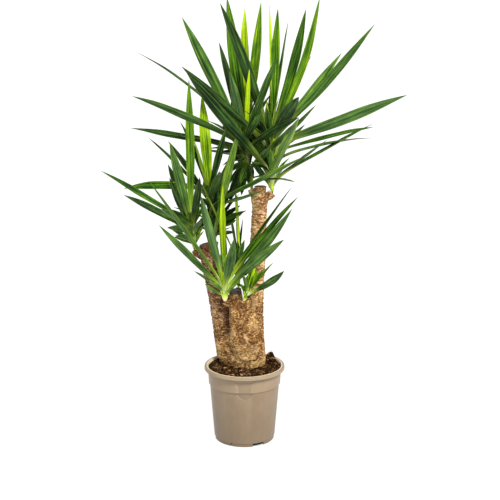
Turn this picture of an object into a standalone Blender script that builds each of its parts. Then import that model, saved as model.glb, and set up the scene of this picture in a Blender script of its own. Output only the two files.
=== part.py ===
"""A giant yucca in a plastic nursery pot: pot, soil, one branched woody trunk and seven leafy crowns.

Metres, +Z up. The origin is the middle of the pot's foot, on the floor. The plant is seen from -Y,
with +X to its right, so a leaf's place reads as across (+X), back (+Y) and up (+Z).
"""

import math
import random
from collections import namedtuple

import bmesh
import bpy
from mathutils import Matrix, Vector, noise

MM = 0.001
GAP = 0.3 * MM

# Pot: the outer skin from the foot to the lip, and the wall inside it
POT_HEIGHT = 229.5 * MM
POT_SIDES = 48
LIP_RADIUS = 120 * MM
LIP_FOOT_HEIGHT = POT_HEIGHT - 11 * MM
LIP_CHAMFER = 3.5 * MM
LIP_ROUND = 5 * MM
MOUTH_RADIUS = 110 * MM
SHOULDER_TOP_RADIUS = 109.3 * MM
SHOULDER_FOOT_RADIUS = 107.3 * MM
SHOULDER_FOOT_HEIGHT = 176 * MM
WALL_TOP_HEIGHT = 173.5 * MM
WALL_TOP_RADIUS = 104 * MM
BODY_FOOT_RADIUS = 91 * MM
FOOT_RADIUS = 89 * MM
FOOT_RING_WIDTH = 4 * MM
FOOT_HEIGHT = 10 * MM
FLOOR_THICKNESS = 4 * MM
WALL_THICKNESS = 3 * MM
CENTRE_FOOT_RADIUS = 24 * MM

# Cuts in the foot ring, in degrees round from the front towards the right
FOOT_CUTS = 3
WIDE_CUT_TURN = 28
WIDE_CUT_SPAN = 24
SLIT_TURN = -25.5
SLIT_SPAN = 2
CUT_STEP = 6
CUT_HEIGHT = FOOT_HEIGHT - 0.5 * MM

# Sunk shield on the front of the pot, under the lip. Its cutter reaches well outside the wall.
# Rows of height and half width in millimetres, from the tip of the bowl below the band up to the splayed top.
SHIELD_OUTLINE = ((154, 4), (157, 10), (161, 16), (167, 22), (173.5, 27), (176, 18), (186, 18.5), (197, 22),
                  (205, 26), (212.5, 32))
SHIELD_SUNK = 1.5 * MM
SHIELD_COLUMNS = 6
CUTTER_REACH = 1.2

# Soil
SOIL_HEIGHT = 221.5 * MM
SOIL_LUMP = 2.5 * MM
SOIL_GRAIN = 55
SOIL_EDGE_DROP = 1 * MM
SOIL_INNER_RINGS = (0.93, 0.74)
CLOD_AT = Vector((80 * MM, 62 * MM))
CLOD_SPREAD = 22 * MM
CLOD_RISE = 21 * MM

# Trunk: the plug that stands in the soil, the clump over it and the three stems
PLUG_CENTRE = Vector((-6 * MM, 36 * MM))
PLUG_HALF_WIDTH = 70 * MM
PLUG_HALF_DEPTH = 42 * MM
PLUG_TURN = math.radians(-20)
PLUG_BOTTOM = 150 * MM
PLUG_TOP = SOIL_HEIGHT + 4 * MM
PLUG_SIDES = 24
TRUNK_RING_PITCH = 26 * MM
TRUNK_SIDES = 12
SCAR_RIDGE = 1.1 * MM
BARK_LUMP = 2.2 * MM
BARK_GRAIN = 34.0
CLUMP_LUMP = 2 * BARK_LUMP
LIMB_FLARE = 1.2
LIMB_RIM = 1.35
LIMB_RIM_DEPTH = 4 * MM
LIMB_SIDES = 8
LIMB_RING_PITCH = 14 * MM
LIMB_LUMP = 0.6 * MM

# The clump over the plug: height, width and depth as shares of the plug's, and shift to the right
Swell = namedtuple("Swell", "height wide deep shift")
CLUMP = (
    Swell(240 * MM, 1.09, 1.03, -4 * MM),
    Swell(268 * MM, 1.12, 1.03, -7 * MM),
    Swell(300 * MM, 1.12, 0.96, -9 * MM),
    Swell(340 * MM, 1.1, 0.86, -14 * MM),
    Swell(380 * MM, 0.86, 0.62, -18 * MM),
)

# Leaf blades
BLADE_THICKNESS = 1.0 * MM
BLADE_CHANNEL = math.radians(17)
BLADE_BASE_SHARE = 0.42
BLADE_WIDEST_AT = 0.58
BLADE_TIP_SHARE = 0.07
BLADE_LEAST_WIDTH = 10 * MM
BLADE_WIDTH_PER_LENGTH = 0.044
LONG_BLADE = 260 * MM
LONG_BLADE_STATIONS = (0.0, 0.24, 0.54, 0.82, 1.0)
SHORT_BLADE_STATIONS = (0.0, 0.3, 0.7, 1.0)
GOLDEN_ANGLE = math.pi * (3 - math.sqrt(5))
BACK_SECTOR = 0.2
FRONT_SECTOR = 0.12
LOWEST_ROOT = 0.45
ROOT_CROWDING = 0.7
ROOT_REACH = 0.6
TOWARDS_VIEWER = Vector((0, -1, 0.25))
LEAST_LEAN = 0.12
STEM_SIDES = 8
STEM_TAPER = ((0.0, 1.0), (0.5, 0.95), (0.85, 0.8), (1.0, 0.45))
STEM_TIP = 6 * MM

Leaf = namedtuple("Leaf", "across back up broadside arch width root", defaults=(None, 0.01, 1.0, None))
Fill = namedtuple("Fill", "count length_least length_most rise_least rise_most")
Crown = namedtuple("Crown", "name limb seat heart stem_radius leaves fill seed")
Limb = namedtuple("Limb", "path radii")


def mm(*values):
    return Vector(values) * MM


# The stems' centre lines and radii, from inside the clump up to their cut tops
LEFT_STEM = Limb(
    [mm(-48, 46, 232), mm(-57, 42, 296), mm(-73, 34, 410),
     mm(-92, 31, 510), mm(-107, 31, 566), mm(-114, 32, 592)],
    [27 * MM, 32 * MM, 30 * MM, 29 * MM, 25 * MM, 20 * MM],
)
TALL_STEM = Limb(
    [mm(20, 28, 232), mm(26, 30, 296), mm(31, 30, 400),
     mm(39, 30, 575), mm(44, 30, 700), mm(47, 30, 738), mm(47, 30, 762)],
    [33 * MM, 33 * MM, 24 * MM, 23 * MM, 21.5 * MM, 22 * MM, 18.5 * MM],
)
SHORT_STEM = Limb(
    [mm(-5, 26, 232), mm(-10, 6, 296), mm(-17, -4, 371), mm(-24, -9, 430), mm(-27, -10, 462)],
    [29 * MM, 33 * MM, 28 * MM, 21 * MM, 18.5 * MM],
)

# Between the tall and the short stem the wood fills the fork up to this ridge
BRIDGE = Limb(
    [mm(14, 20, 250), mm(12, 14, 320), mm(8, 10, 380), mm(4, 6, 430)],
    [40 * MM, 36 * MM, 30 * MM, 13 * MM],
)

# Each crown's leading leaves, by where their tips are: across, back and up in millimetres. Then come how far
# the blade is turned from edge-on to broadside to the viewer in degrees, its arch as a share of its length,
# its width factor, and its root's share of the way up the crown's stem. Without a turn a blade's upper face
# looks at the crown's axis, and without a root share the leaves' rises set their order on the stem.
TOP_RIGHT_LEAVES = (
    Leaf(95, 30, 1277, 80, 0.0),
    Leaf(70, 20, 1286, 20, 0.0),
    Leaf(-67, -16, 1294, 75, 0.018, 1.12),
    Leaf(-171, -116, 1130, 85, 0.005, 0.95),
    Leaf(124, 30, 1238, 15, 0.0),
    Leaf(174, 30, 1275, 65, -0.02, 1.1),
    Leaf(212, 10, 1311, 75, -0.04, 1.0),
    Leaf(201, 260, 1121, 25, 0.02),
    Leaf(364, -20, 1236, 70, -0.01, 0.9),
    Leaf(290, 215, 1134, 60, 0.0),
    Leaf(457, -40, 1041, 65, 0.01, 1.25),
    Leaf(389, 275, 868, 20, 0.05),
    Leaf(390, 260, 913, 20, 0.02, 1.0, 0.1),
    Leaf(346, -225, 979, 25, 0.02),
    Leaf(256, 305, 857, 20, 0.01, 1.0, 0.1),
    Leaf(145, -290, 1013, 60, 0.03, 1.0, 0.15),
    Leaf(190, 350, 900, 40),
    Leaf(222, 340, 961, 30),
    Leaf(146, -240, 1062, 75, 0.04, 1.3),
    Leaf(76, 20, 1056, 40, 0.0),
    Leaf(147, 30, 779, 25, 0.03),
    Leaf(20, -80, 860, 30, 0.03),
    Leaf(-152, -200, 1120, 75, 0.0, 1.0, 0.3),
)
TOP_LEFT_LEAVES = (
    Leaf(48, 50, 1293, 50, -0.01),
    Leaf(2, 70, 1275, 32, 0.0),
    Leaf(-49, 60, 1306, 88, 0.0, 1.15),
    Leaf(-175, 20, 1253, 75, 0.0, 1.15),
    Leaf(-127, 290, 1105, 40, 0.01),
    Leaf(-304, 60, 1149, 15, 0.06),
    Leaf(-308, -110, 1047, 50, 0.035),
    Leaf(-344, 215, 908, 50, 0.015, 1.1),
    Leaf(-76, 220, 1166, 70, 0.0),
    Leaf(-52, 360, 1061, 45, 0.0),
    Leaf(95, -60, 1155, 65, 0.01),
    Leaf(-72, 365, 904, 60),
    Leaf(149, -170, 997, 70, 0.03, 1.1),
    Leaf(-10, -120, 806, 30, 0.04),
    Leaf(-125, 350, 818, 30),
    Leaf(38, -225, 1052, 30),
    Leaf(-44, 72, 710, 70, 0.02, 1.7, 0.6),
    Leaf(-1, 20, 763, 55, 0.0, 1.0, 0.7),
    Leaf(14, 20, 766, 50, 0.0, 1.0, 0.6),
)
LEFT_LEAVES = (
    Leaf(-207, -100, 917, 80, 0.0, 1.2),
    Leaf(-237, 265, 788, 55, 0.01, 1.2),
    Leaf(-121, -175, 833, 75, 0.0),
    Leaf(-408, -40, 825, 50, 0.02, 0.85),
    Leaf(-233, -160, 740, 60, 0.04, 1.2),
    Leaf(-246, 220, 646, 55, 0.03, 1.3),
    Leaf(-212, -140, 736, 60, 0.05, 1.2),
    Leaf(-218, -100, 673, 65, 0.05, 1.3),
    Leaf(-198, -65, 641, 65, 0.05, 1.2),
    Leaf(-120, -5, 667, 40),
    Leaf(-158, 40, 1077, 75, 0.0, 0.9),
    Leaf(-355, 60, 734, 65, 0.03, 1.1),
)
LEFT_BACK_LEAVES = (
    Leaf(-14, -60, 948, 65, 0.0, 0.9, 0.15),
    Leaf(-144, 10, 906, 35, 0.0),
    Leaf(-123, 75, 1026, 80, 0.0, 1.35),
    Leaf(-50, -100, 958, 60, 0.01),
    Leaf(-2, 300, 876, 30),
    Leaf(26, 250, 841, 30, -0.02),
    Leaf(162, -155, 886, 30, 0.0),
    Leaf(57, -200, 802, 20, 0.0),
    Leaf(-2, 315, 629, 60, 0.0, 1.1, 0.3),
    Leaf(-27, 260, 613, 60, 0.0, 1.1, 0.2),
    Leaf(-364, 160, 733, 70, 0.05, 1.2, 1.1),
    Leaf(-289, 200, 880, 25, 0.03),
    Leaf(-190, 130, 940, 50, 0.06),
    Leaf(-231, 200, 871, 35),
    Leaf(-63, -60, 808, 40),
)
FRONT_LEFT_LEAVES = (
    Leaf(-259, -198, 827, 35, 0.0, 0.8),
    Leaf(-234, -200, 704, 60, 0.0, 0.95),
    Leaf(-122, -120, 772, 80, 0.0, 1.1),
    Leaf(-61, -30, 788, 40, 0.0),
    Leaf(-76, -10, 763, 35),
    Leaf(-27, -230, 672, 80, -0.01, 1.2),
    Leaf(135, -10, 769, 20),
    Leaf(154, -30, 747, 45, 0.02),
    Leaf(135, -100, 727, 80, -0.015, 1.1),
    Leaf(110, -205, 664, 70, 0.02, 1.2),
    Leaf(-141, -145, 558, 40, 0.0, 1.0, 0.45),
    Leaf(-112, -115, 511, 50, -0.03, 1.0, 0.2),
    Leaf(-99, -155, 535, 50, 0.0, 1.0, 0.3),
    Leaf(-12, -95, 515, 50, 0.04),
)
FRONT_RIGHT_LEAVES = (
    Leaf(113, -125, 553, 60, -0.05, 1.4, 0.6),
    Leaf(37, -50, 536, 60),
    Leaf(16, -38, 577, 60, 0.0),
    Leaf(-4, -90, 534, 60),
    Leaf(83, -65, 561, 25),
    Leaf(60, -52, 542, 30, 0.04),
)
FRONT_BACK_LEAVES = (
    Leaf(-31, 100, 777, 25, 0.0),
    Leaf(-5, 140, 643, 25, 0.0),
    Leaf(-51, 200, 673, 20, 0.0),
    Leaf(-26, 150, 631, 30),
    Leaf(-122, -11, 780, 20, 0.0, 0.6),
    Leaf(-38, 140, 521, 40, 0.05),
    Leaf(7, 150, 528, 40, 0.05),
)

CROWNS = (
    Crown("crown_top_right", (mm(47, 30, 732), mm(68, 30, 734)), mm(81, 30, 746), mm(75, 28, 905),
          10 * MM, TOP_RIGHT_LEAVES, Fill(5, 240, 330, -10, 28), 1),
    Crown("crown_top_left", (mm(44, 34, 728), mm(30, 46, 736)), mm(22, 54, 752), mm(2, 52, 890),
          10 * MM, TOP_LEFT_LEAVES, Fill(5, 240, 320, -12, 28), 4),
    Crown("crown_left", (mm(-110, 30, 552), mm(-132, 26, 558)), mm(-146, 24, 576), mm(-152, 18, 640),
          8.5 * MM, LEFT_LEAVES, Fill(4, 150, 220, 0, 30), 1),
    Crown("crown_left_back", (mm(-108, 38, 562), mm(-93, 50, 572)), mm(-88, 58, 594), mm(-104, 57, 725),
          9 * MM, LEFT_BACK_LEAVES, Fill(4, 200, 280, 0, 30), 4),
    Crown("crown_front_left", (mm(-22, -12, 422), mm(-42, -21, 423)), mm(-56, -29, 435), mm(-60, -38, 505),
          8.5 * MM, FRONT_LEFT_LEAVES, Fill(1, 110, 170, 15, 50), 2),
    Crown("crown_front_right", (mm(-20, -14, 426), mm(-7, -26, 428)), mm(-2, -33, 437), mm(13, -43, 470),
          6.5 * MM, FRONT_RIGHT_LEAVES, Fill(2, 60, 90, 10, 40), 22),
    Crown("crown_front_back", (mm(-26, -4, 434), mm(-21, 13, 444)), mm(-18, 21, 462), mm(-16, 24, 530),
          7 * MM, FRONT_BACK_LEAVES, Fill(3, 120, 180, 0, 35), 78),
)


def clear_scene():
    for old in list(bpy.data.objects):
        bpy.data.objects.remove(old)


def material(name, colour, roughness, coat=0.0):
    made = bpy.data.materials.new(name)
    made.use_nodes = True
    shader = made.node_tree.nodes["Principled BSDF"]
    shader.inputs["Base Color"].default_value = (*colour, 1)
    shader.inputs["Roughness"].default_value = roughness
    shader.inputs["Metallic"].default_value = 0.0
    shader.inputs["Coat Weight"].default_value = coat
    return made


def object_from(name, bm, look):
    bmesh.ops.remove_doubles(bm, verts=bm.verts, dist=0.001 * MM)
    bmesh.ops.recalc_face_normals(bm, faces=bm.faces)
    mesh = bpy.data.meshes.new(name)
    bm.to_mesh(mesh)
    bm.free()
    mesh.materials.append(look)
    mesh.shade_smooth()
    mesh.set_sharp_from_angle(angle=math.radians(35))
    made = bpy.data.objects.new(name, mesh)
    bpy.context.scene.collection.objects.link(made)
    return made


def turned(name, outline, sides, look):
    """A solid of revolution from an outline of (radius, height) that starts and ends on the axis."""
    bm = bmesh.new()
    points = [bm.verts.new((radius, 0, height)) for radius, height in outline]
    edges = [bm.edges.new(pair) for pair in zip(points, points[1:])]
    bmesh.ops.spin(bm, geom=points + edges, cent=(0, 0, 0), axis=(0, 0, 1),
                   angle=math.tau, steps=sides, use_merge=True)
    return object_from(name, bm, look)


def skinned(bm, rings):
    """Side faces between equal rings of points, and a cap on the first and the last ring."""
    loops = [[bm.verts.new(point) for point in ring] for ring in rings]
    for low, high in zip(loops, loops[1:]):
        for i in range(len(low)):
            j = (i + 1) % len(low)
            bm.faces.new((low[i], low[j], high[j]))
            bm.faces.new((low[i], high[j], high[i]))
    bm.faces.new(reversed(loops[0]))
    bm.faces.new(loops[-1])


def combined(target, others, operation):
    """A Boolean of target with a collection of other solids, applied, and the others removed."""
    group = bpy.data.collections.new("operands")
    for other in others:
        group.objects.link(other)
    cut = target.modifiers.new(operation.title(), "BOOLEAN")
    cut.operation = operation
    cut.solver = "EXACT"
    cut.operand_type = "COLLECTION"
    cut.collection = group
    bpy.context.view_layer.update()
    evaluated = target.evaluated_get(bpy.context.evaluated_depsgraph_get())
    mesh = bpy.data.meshes.new_from_object(evaluated)
    target.modifiers.clear()
    target.data = mesh
    mesh.name = target.name
    for other in others:
        bpy.data.objects.remove(other)
    bpy.data.collections.remove(group)


def without_hollows(target):
    """Keeps the largest shell, which fills the small hollows that crossing blades seal."""
    bm = bmesh.new()
    bm.from_mesh(target.data)
    left = set(bm.faces)
    shells = []
    while left:
        shell = set()
        edge = [left.pop()]
        while edge:
            face = edge.pop()
            shell.add(face)
            near = {other for corner in face.verts for other in corner.link_faces} & left
            left -= near
            edge.extend(near)
        shells.append(shell)
    shells.sort(key=len)
    for shell in shells[:-1]:
        bmesh.ops.delete(bm, geom=list(shell), context="FACES")
    bm.to_mesh(target.data)
    bm.free()


# Pot

def between(profile, height):
    """The radius at a height on a profile of (height, radius) from the bottom up."""
    for (low, first), (high, last) in zip(profile, profile[1:]):
        if height <= high:
            return first + (last - first) * (height - low) / (high - low)
    return profile[-1][1]


def pot_skin_radius(height):
    """The radius of the pot's outer wall under its lip."""
    return between((
        (FOOT_HEIGHT, BODY_FOOT_RADIUS),
        (WALL_TOP_HEIGHT, WALL_TOP_RADIUS),
        (SHOULDER_FOOT_HEIGHT, SHOULDER_FOOT_RADIUS),
        (LIP_FOOT_HEIGHT, SHOULDER_TOP_RADIUS),
    ), height)


def pot_inside_radius(height):
    return between((
        (FOOT_HEIGHT, BODY_FOOT_RADIUS - WALL_THICKNESS),
        (WALL_TOP_HEIGHT, WALL_TOP_RADIUS - WALL_THICKNESS),
        (LIP_FOOT_HEIGHT, SHOULDER_TOP_RADIUS - WALL_THICKNESS),
        (POT_HEIGHT, MOUTH_RADIUS),
    ), height)


def pot_outline():
    floor_top = FOOT_HEIGHT + FLOOR_THICKNESS
    outline = [
        (0, 0),
        (CENTRE_FOOT_RADIUS, 0),
        (CENTRE_FOOT_RADIUS, FOOT_HEIGHT),
        (FOOT_RADIUS - FOOT_RING_WIDTH, FOOT_HEIGHT),
        (FOOT_RADIUS - FOOT_RING_WIDTH, 0),
        (FOOT_RADIUS, 0),
        (FOOT_RADIUS, FOOT_HEIGHT),
        (BODY_FOOT_RADIUS, FOOT_HEIGHT + 1 * MM),
        (WALL_TOP_RADIUS, WALL_TOP_HEIGHT),
        (SHOULDER_FOOT_RADIUS, SHOULDER_FOOT_HEIGHT),
        (SHOULDER_TOP_RADIUS, LIP_FOOT_HEIGHT),
        (LIP_RADIUS - LIP_CHAMFER, LIP_FOOT_HEIGHT),
        (LIP_RADIUS, LIP_FOOT_HEIGHT + LIP_CHAMFER),
        (LIP_RADIUS, POT_HEIGHT - LIP_ROUND),
        (LIP_RADIUS - LIP_ROUND, POT_HEIGHT),
        (MOUTH_RADIUS, POT_HEIGHT),
        (pot_inside_radius(LIP_FOOT_HEIGHT), LIP_FOOT_HEIGHT),
        (pot_inside_radius(WALL_TOP_HEIGHT), WALL_TOP_HEIGHT),
        (pot_inside_radius(floor_top), floor_top),
        (0, floor_top),
    ]
    return outline


def sector_cutter(name, turn, span, look):
    """A wedge of the foot ring, turn degrees round from the front."""
    inside, outside = FOOT_RADIUS - 2 * FOOT_RING_WIDTH, FOOT_RADIUS + FOOT_RING_WIDTH
    steps = max(1, round(span / CUT_STEP))
    rings = []
    for i in range(steps + 1):
        angle = math.radians(turn - span / 2 + span * i / steps)
        x, y = math.sin(angle), -math.cos(angle)
        low = [(reach * x, reach * y, -FOOT_HEIGHT) for reach in (inside, outside)]
        high = [(reach * x, reach * y, CUT_HEIGHT) for reach in (outside, inside)]
        rings.append(low + high)
    bm = bmesh.new()
    skinned(bm, rings)
    return object_from(name, bm, look)


def shield_cutter(look):
    """The shield's outline, from outside the pot to a face that follows the wall at a constant depth."""
    rings = []
    for up, half in reversed(SHIELD_OUTLINE):
        height, half = up * MM, half * MM
        radius = pot_skin_radius(height) - SHIELD_SUNK
        turns = [half / radius * (2 * i / SHIELD_COLUMNS - 1) for i in range(SHIELD_COLUMNS + 1)]
        inner = [(radius * math.sin(t), -radius * math.cos(t), height) for t in turns]
        outer = [(CUTTER_REACH * x, CUTTER_REACH * y, z) for x, y, z in reversed(inner)]
        rings.append(inner + outer)
    bm = bmesh.new()
    skinned(bm, rings)
    return object_from("shield_cutter", bm, look)


def build_pot(look):
    pot = turned("pot", pot_outline(), POT_SIDES, look)
    cutters = [shield_cutter(look)]
    for i in range(FOOT_CUTS):
        turn = 360 * i / FOOT_CUTS
        cutters.append(sector_cutter(f"wide_cut_{i}", WIDE_CUT_TURN + turn, WIDE_CUT_SPAN, look))
        cutters.append(sector_cutter(f"slit_{i}", SLIT_TURN + turn, SLIT_SPAN, look))
    combined(pot, cutters, "DIFFERENCE")
    return pot


# Soil

def soil_top(x, y):
    """The soil's height at a place: small lumps, and one clod at the back right."""
    lump = SOIL_LUMP * noise.noise(Vector((x, y, 0)) * SOIL_GRAIN)
    spread = (Vector((x, y)) - CLOD_AT).length / CLOD_SPREAD
    return SOIL_HEIGHT + lump + CLOD_RISE * math.exp(-spread ** 2 * 2)


def plug_ring(height, grow=0.0, wide=1.0, deep=1.0, shift=0.0, rough=0.0):
    """The turned oval in which the trunk leaves the soil, or one like it higher up."""
    ring = []
    for i in range(PLUG_SIDES):
        angle = math.tau * i / PLUG_SIDES
        half_width, half_depth = PLUG_HALF_WIDTH * wide + grow, PLUG_HALF_DEPTH * deep + grow
        out = Vector((math.cos(angle) * half_width, math.sin(angle) * half_depth))
        out.rotate(Matrix.Rotation(PLUG_TURN, 2))
        point = Vector((PLUG_CENTRE.x + shift + out.x, PLUG_CENTRE.y + out.y, height))
        push = rough * noise.noise(point * BARK_GRAIN)
        ring.append(point + Vector((out.x, out.y, 0)).normalized() * push)
    return ring


def circle(radius, height):
    """Points round the pot's axis, one at each corner of the pot."""
    turns = [math.tau * i / POT_SIDES for i in range(POT_SIDES)]
    return [(radius * math.cos(turn), radius * math.sin(turn), height) for turn in turns]


def build_soil(look):
    """It fills the pot to just under the lip, with a plain hole for the trunk's plug."""
    bottom = FOOT_HEIGHT + FLOOR_THICKNESS + GAP
    edge = pot_inside_radius(SOIL_HEIGHT) - 2 * GAP
    rings = [circle(pot_inside_radius(z) - GAP, z) for z in (bottom, WALL_TOP_HEIGHT, LIP_FOOT_HEIGHT)]
    rings.append(circle(edge, SOIL_HEIGHT - SOIL_EDGE_DROP))
    for share in SOIL_INNER_RINGS:
        rings.append([(x, y, soil_top(x, y)) for x, y, _ in circle(edge * share, 0)])
    bm = bmesh.new()
    skinned(bm, rings)
    soil = object_from("soil", bm, look)
    bm = bmesh.new()
    skinned(bm, [plug_ring(PLUG_BOTTOM - GAP, GAP), plug_ring(POT_HEIGHT + CLOD_RISE, GAP)])
    combined(soil, [object_from("soil_hole", bm, look)], "DIFFERENCE")
    return soil


# Trunk

def on_path(path, share):
    """The point at a share of the way along a polyline, and the direction there."""
    lengths = [(b - a).length for a, b in zip(path, path[1:])]
    left = share * sum(lengths)
    for a, b, length in zip(path, path[1:], lengths):
        if left <= length or b is path[-1]:
            return a.lerp(b, min(1.0, left / length)), (b - a).normalized()
        left -= length


def on_values(path, values, share):
    lengths = [(b - a).length for a, b in zip(path, path[1:])]
    left = share * sum(lengths)
    for a, b, length in zip(values, values[1:], lengths):
        if left <= length or b is values[-1]:
            return a + (b - a) * min(1.0, left / length)
        left -= length


def ring_round(centre, direction, radius, sides, rough=0.0):
    """A ring of points square to a direction, pushed in and out by the bark's lumps."""
    side = direction.cross(Vector((0, 1, 0))).normalized()
    ahead = side.cross(direction)
    ring = []
    for i in range(sides):
        angle = math.tau * i / sides
        out = side * math.cos(angle) + ahead * math.sin(angle)
        point = centre + out * radius
        ring.append(point + out * rough * noise.noise(point * BARK_GRAIN))
    return ring


def limb(name, path, radii, look, sides=TRUNK_SIDES, pitch=TRUNK_RING_PITCH, rough=BARK_LUMP):
    """A closed bark-covered stem along a path, with a ridge at every other ring as leaf scars leave."""
    length = sum((b - a).length for a, b in zip(path, path[1:]))
    steps = max(2, round(length / pitch))
    rings = []
    for i in range(steps + 1):
        centre, direction = on_path(path, i / steps)
        radius = on_values(path, radii, i / steps)
        ridge = SCAR_RIDGE if i % 2 and rough else 0.0
        rings.append(ring_round(centre, direction, radius + ridge, sides, rough))
    bm = bmesh.new()
    skinned(bm, rings)
    return object_from(name, bm, look)


def clump_rings():
    """The swollen base of the trunk, from its plug in the soil to where the stems part."""
    rings = [plug_ring(PLUG_BOTTOM), plug_ring(PLUG_TOP)]
    for swell in CLUMP:
        rings.append(plug_ring(swell.height, 0.0, swell.wide, swell.deep, swell.shift, CLUMP_LUMP))
    return rings


def build_trunk(look):
    bm = bmesh.new()
    skinned(bm, clump_rings())
    trunk = object_from("trunk", bm, look)
    stems = [limb(f"stem_{i}", stem.path, stem.radii, look)
             for i, stem in enumerate((LEFT_STEM, TALL_STEM, SHORT_STEM, BRIDGE))]
    for crown in CROWNS:
        axis = (crown.heart - crown.seat).normalized()
        path = [*crown.limb, crown.seat - axis * LIMB_RIM_DEPTH, crown.seat]
        radii = [crown.stem_radius * share for share in (LIMB_FLARE, LIMB_FLARE, LIMB_RIM, LIMB_FLARE)]
        stems.append(limb(f"limb_{crown.name}", path, radii, look, LIMB_SIDES, LIMB_RING_PITCH, LIMB_LUMP))
    combined(trunk, stems, "UNION")
    without_hollows(trunk)
    return trunk


# Crowns

def blade_width(share):
    """The blade's width along its length, as a share of its widest."""
    if share < BLADE_WIDEST_AT:
        swell = math.sin(math.pi / 2 * share / BLADE_WIDEST_AT) ** 2
        return BLADE_BASE_SHARE + (1 - BLADE_BASE_SHARE) * swell
    taper = math.cos(math.pi / 2 * (share - BLADE_WIDEST_AT) / (1 - BLADE_WIDEST_AT)) ** 0.8
    return max(BLADE_TIP_SHARE, taper)


def blade_face(along, inward, broadside):
    """The way the upper face looks: at the crown's axis, or turned from edge-on to broadside."""
    if broadside is None:
        return inward
    viewer = (TOWARDS_VIEWER - along * along.dot(TOWARDS_VIEWER)).normalized()
    edge = along.cross(viewer)
    if edge.dot(inward) < 0:
        edge.negate()
    if viewer.dot(inward) < 0:
        viewer.negate()
    turn = math.radians(broadside)
    return edge * math.cos(turn) + viewer * math.sin(turn)


def blade_frames(root, tip, leaf, axis):
    """Centre, sideways and upper-face directions along the blade, and its share of the full width."""
    chord = tip - root
    length = chord.length
    along = chord.normalized()
    inward = axis - along * axis.dot(along)
    if inward.length < LEAST_LEAN:
        inward = TOWARDS_VIEWER - along * along.dot(TOWARDS_VIEWER)
    inward.normalize()
    face = blade_face(along, inward, leaf.broadside)
    frames = []
    for share in LONG_BLADE_STATIONS if length > LONG_BLADE else SHORT_BLADE_STATIONS:
        centre = root + chord * share + inward * leaf.arch * length * 4 * share * (1 - share)
        slope = (along + inward * leaf.arch * 4 * (1 - 2 * share)).normalized()
        up = (face - slope * face.dot(slope)).normalized()
        frames.append((centre, slope.cross(up), up, blade_width(share)))
    return frames


def blade_rings(root, tip, leaf, axis):
    """Rings of six points, an open channel in section, alike on both faces."""
    width = (BLADE_LEAST_WIDTH + BLADE_WIDTH_PER_LENGTH * (tip - root).length) * leaf.width
    rings = []
    for centre, side, up, share in blade_frames(root, tip, leaf, axis):
        half = width / 2 * share
        edge = side * half * math.cos(BLADE_CHANNEL)
        lift = up * half * math.sin(BLADE_CHANNEL)
        thick = up * BLADE_THICKNESS / 2
        rings.append([centre - edge + lift + thick, centre + thick, centre + edge + lift + thick,
                      centre + edge + lift - thick, centre - thick, centre - edge + lift - thick])
    return rings


def fill_leaves(crown):
    """Leaves behind and in front of the leading ones, turned by the golden angle one from the next."""
    draw = random.Random(crown.seed)
    fill = crown.fill
    leaves = []
    for i in range(fill.count):
        # The golden turn is folded into a sector at the back and a narrower one at the front
        turn = math.remainder(i * GOLDEN_ANGLE, math.tau)
        ahead = i % 3 == 2
        turn = turn * (FRONT_SECTOR if ahead else BACK_SECTOR) + (math.pi if ahead else 0.0)
        rise = math.radians(draw.uniform(fill.rise_least, fill.rise_most))
        length = draw.uniform(fill.length_least, fill.length_most)
        out = Vector((math.sin(turn) * math.cos(rise), math.cos(turn) * math.cos(rise), math.sin(rise)))
        tip = (crown.heart + out * length * MM) / MM
        leaves.append(Leaf(tip.x, tip.y, tip.z, None, draw.uniform(0.01, 0.05), 1.0))
    return leaves


def leaf_roots(crown, leaves, tips):
    """Drooping leaves leave the stem low and upright ones at its top, each on its own side of it."""
    rises = [(tip - crown.heart).normalized().z for tip in tips]
    order = sorted(range(len(tips)), key=lambda i: rises[i])
    axis = (crown.heart - crown.seat).normalized()
    roots = {}
    for rank, i in enumerate(order):
        share = leaves[i].root
        if share is None:
            share = LOWEST_ROOT + (1 - LOWEST_ROOT) * (rank / (len(tips) - 1)) ** ROOT_CROWDING
        out = tips[i] - crown.heart
        out -= axis * out.dot(axis)
        reach = ROOT_REACH * crown.stem_radius * (1 - 0.5 * share)
        roots[i] = crown.seat.lerp(crown.heart, share) + out.normalized() * reach
    return [roots[i] for i in range(len(tips))]


def crown_blades(crown):
    """The rings of every blade of a crown."""
    axis = (crown.heart - crown.seat).normalized()
    leaves = [*crown.leaves, *fill_leaves(crown)]
    tips = [mm(leaf.across, leaf.back, leaf.up) for leaf in leaves]
    roots = leaf_roots(crown, leaves, tips)
    return [blade_rings(root, tip, leaf, axis) for leaf, tip, root in zip(leaves, tips, roots)]


def build_crown(crown, look):
    """A short green stem with its blades fused to it, their roots inside it."""
    axis = (crown.heart - crown.seat).normalized()
    foot = crown.seat + axis * GAP
    top = crown.heart + axis * STEM_TIP
    rings = [ring_round(foot.lerp(top, share), axis, crown.stem_radius * size, STEM_SIDES)
             for share, size in STEM_TAPER]
    bm = bmesh.new()
    skinned(bm, rings)
    stem = object_from(crown.name, bm, look)
    solids = []
    for i, rings in enumerate(crown_blades(crown)):
        bm = bmesh.new()
        skinned(bm, rings)
        solids.append(object_from(f"{crown.name}_blade_{i}", bm, look))
    combined(stem, solids, "UNION")
    without_hollows(stem)
    return stem


def main():
    clear_scene()
    build_pot(material("taupe_plastic", (0.34, 0.26, 0.19), 0.38, 0.15))
    build_soil(material("potting_soil", (0.045, 0.028, 0.018), 0.95))
    build_trunk(material("bark", (0.36, 0.23, 0.11), 0.9))
    for crown in CROWNS:
        build_crown(crown, material(f"{crown.name}_leaf", (0.07, 0.15, 0.035), 0.45))


main()
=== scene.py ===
"""A giant yucca in a plastic nursery pot, in front of a plain pale studio floor.

Metres, +Z up, the origin on the floor under the middle of the pot. The plant is seen from -Y.
"""

import math
import random
from collections import namedtuple

import bmesh
import bpy
import numpy as np
from mathutils import Matrix, Vector, noise


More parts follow.
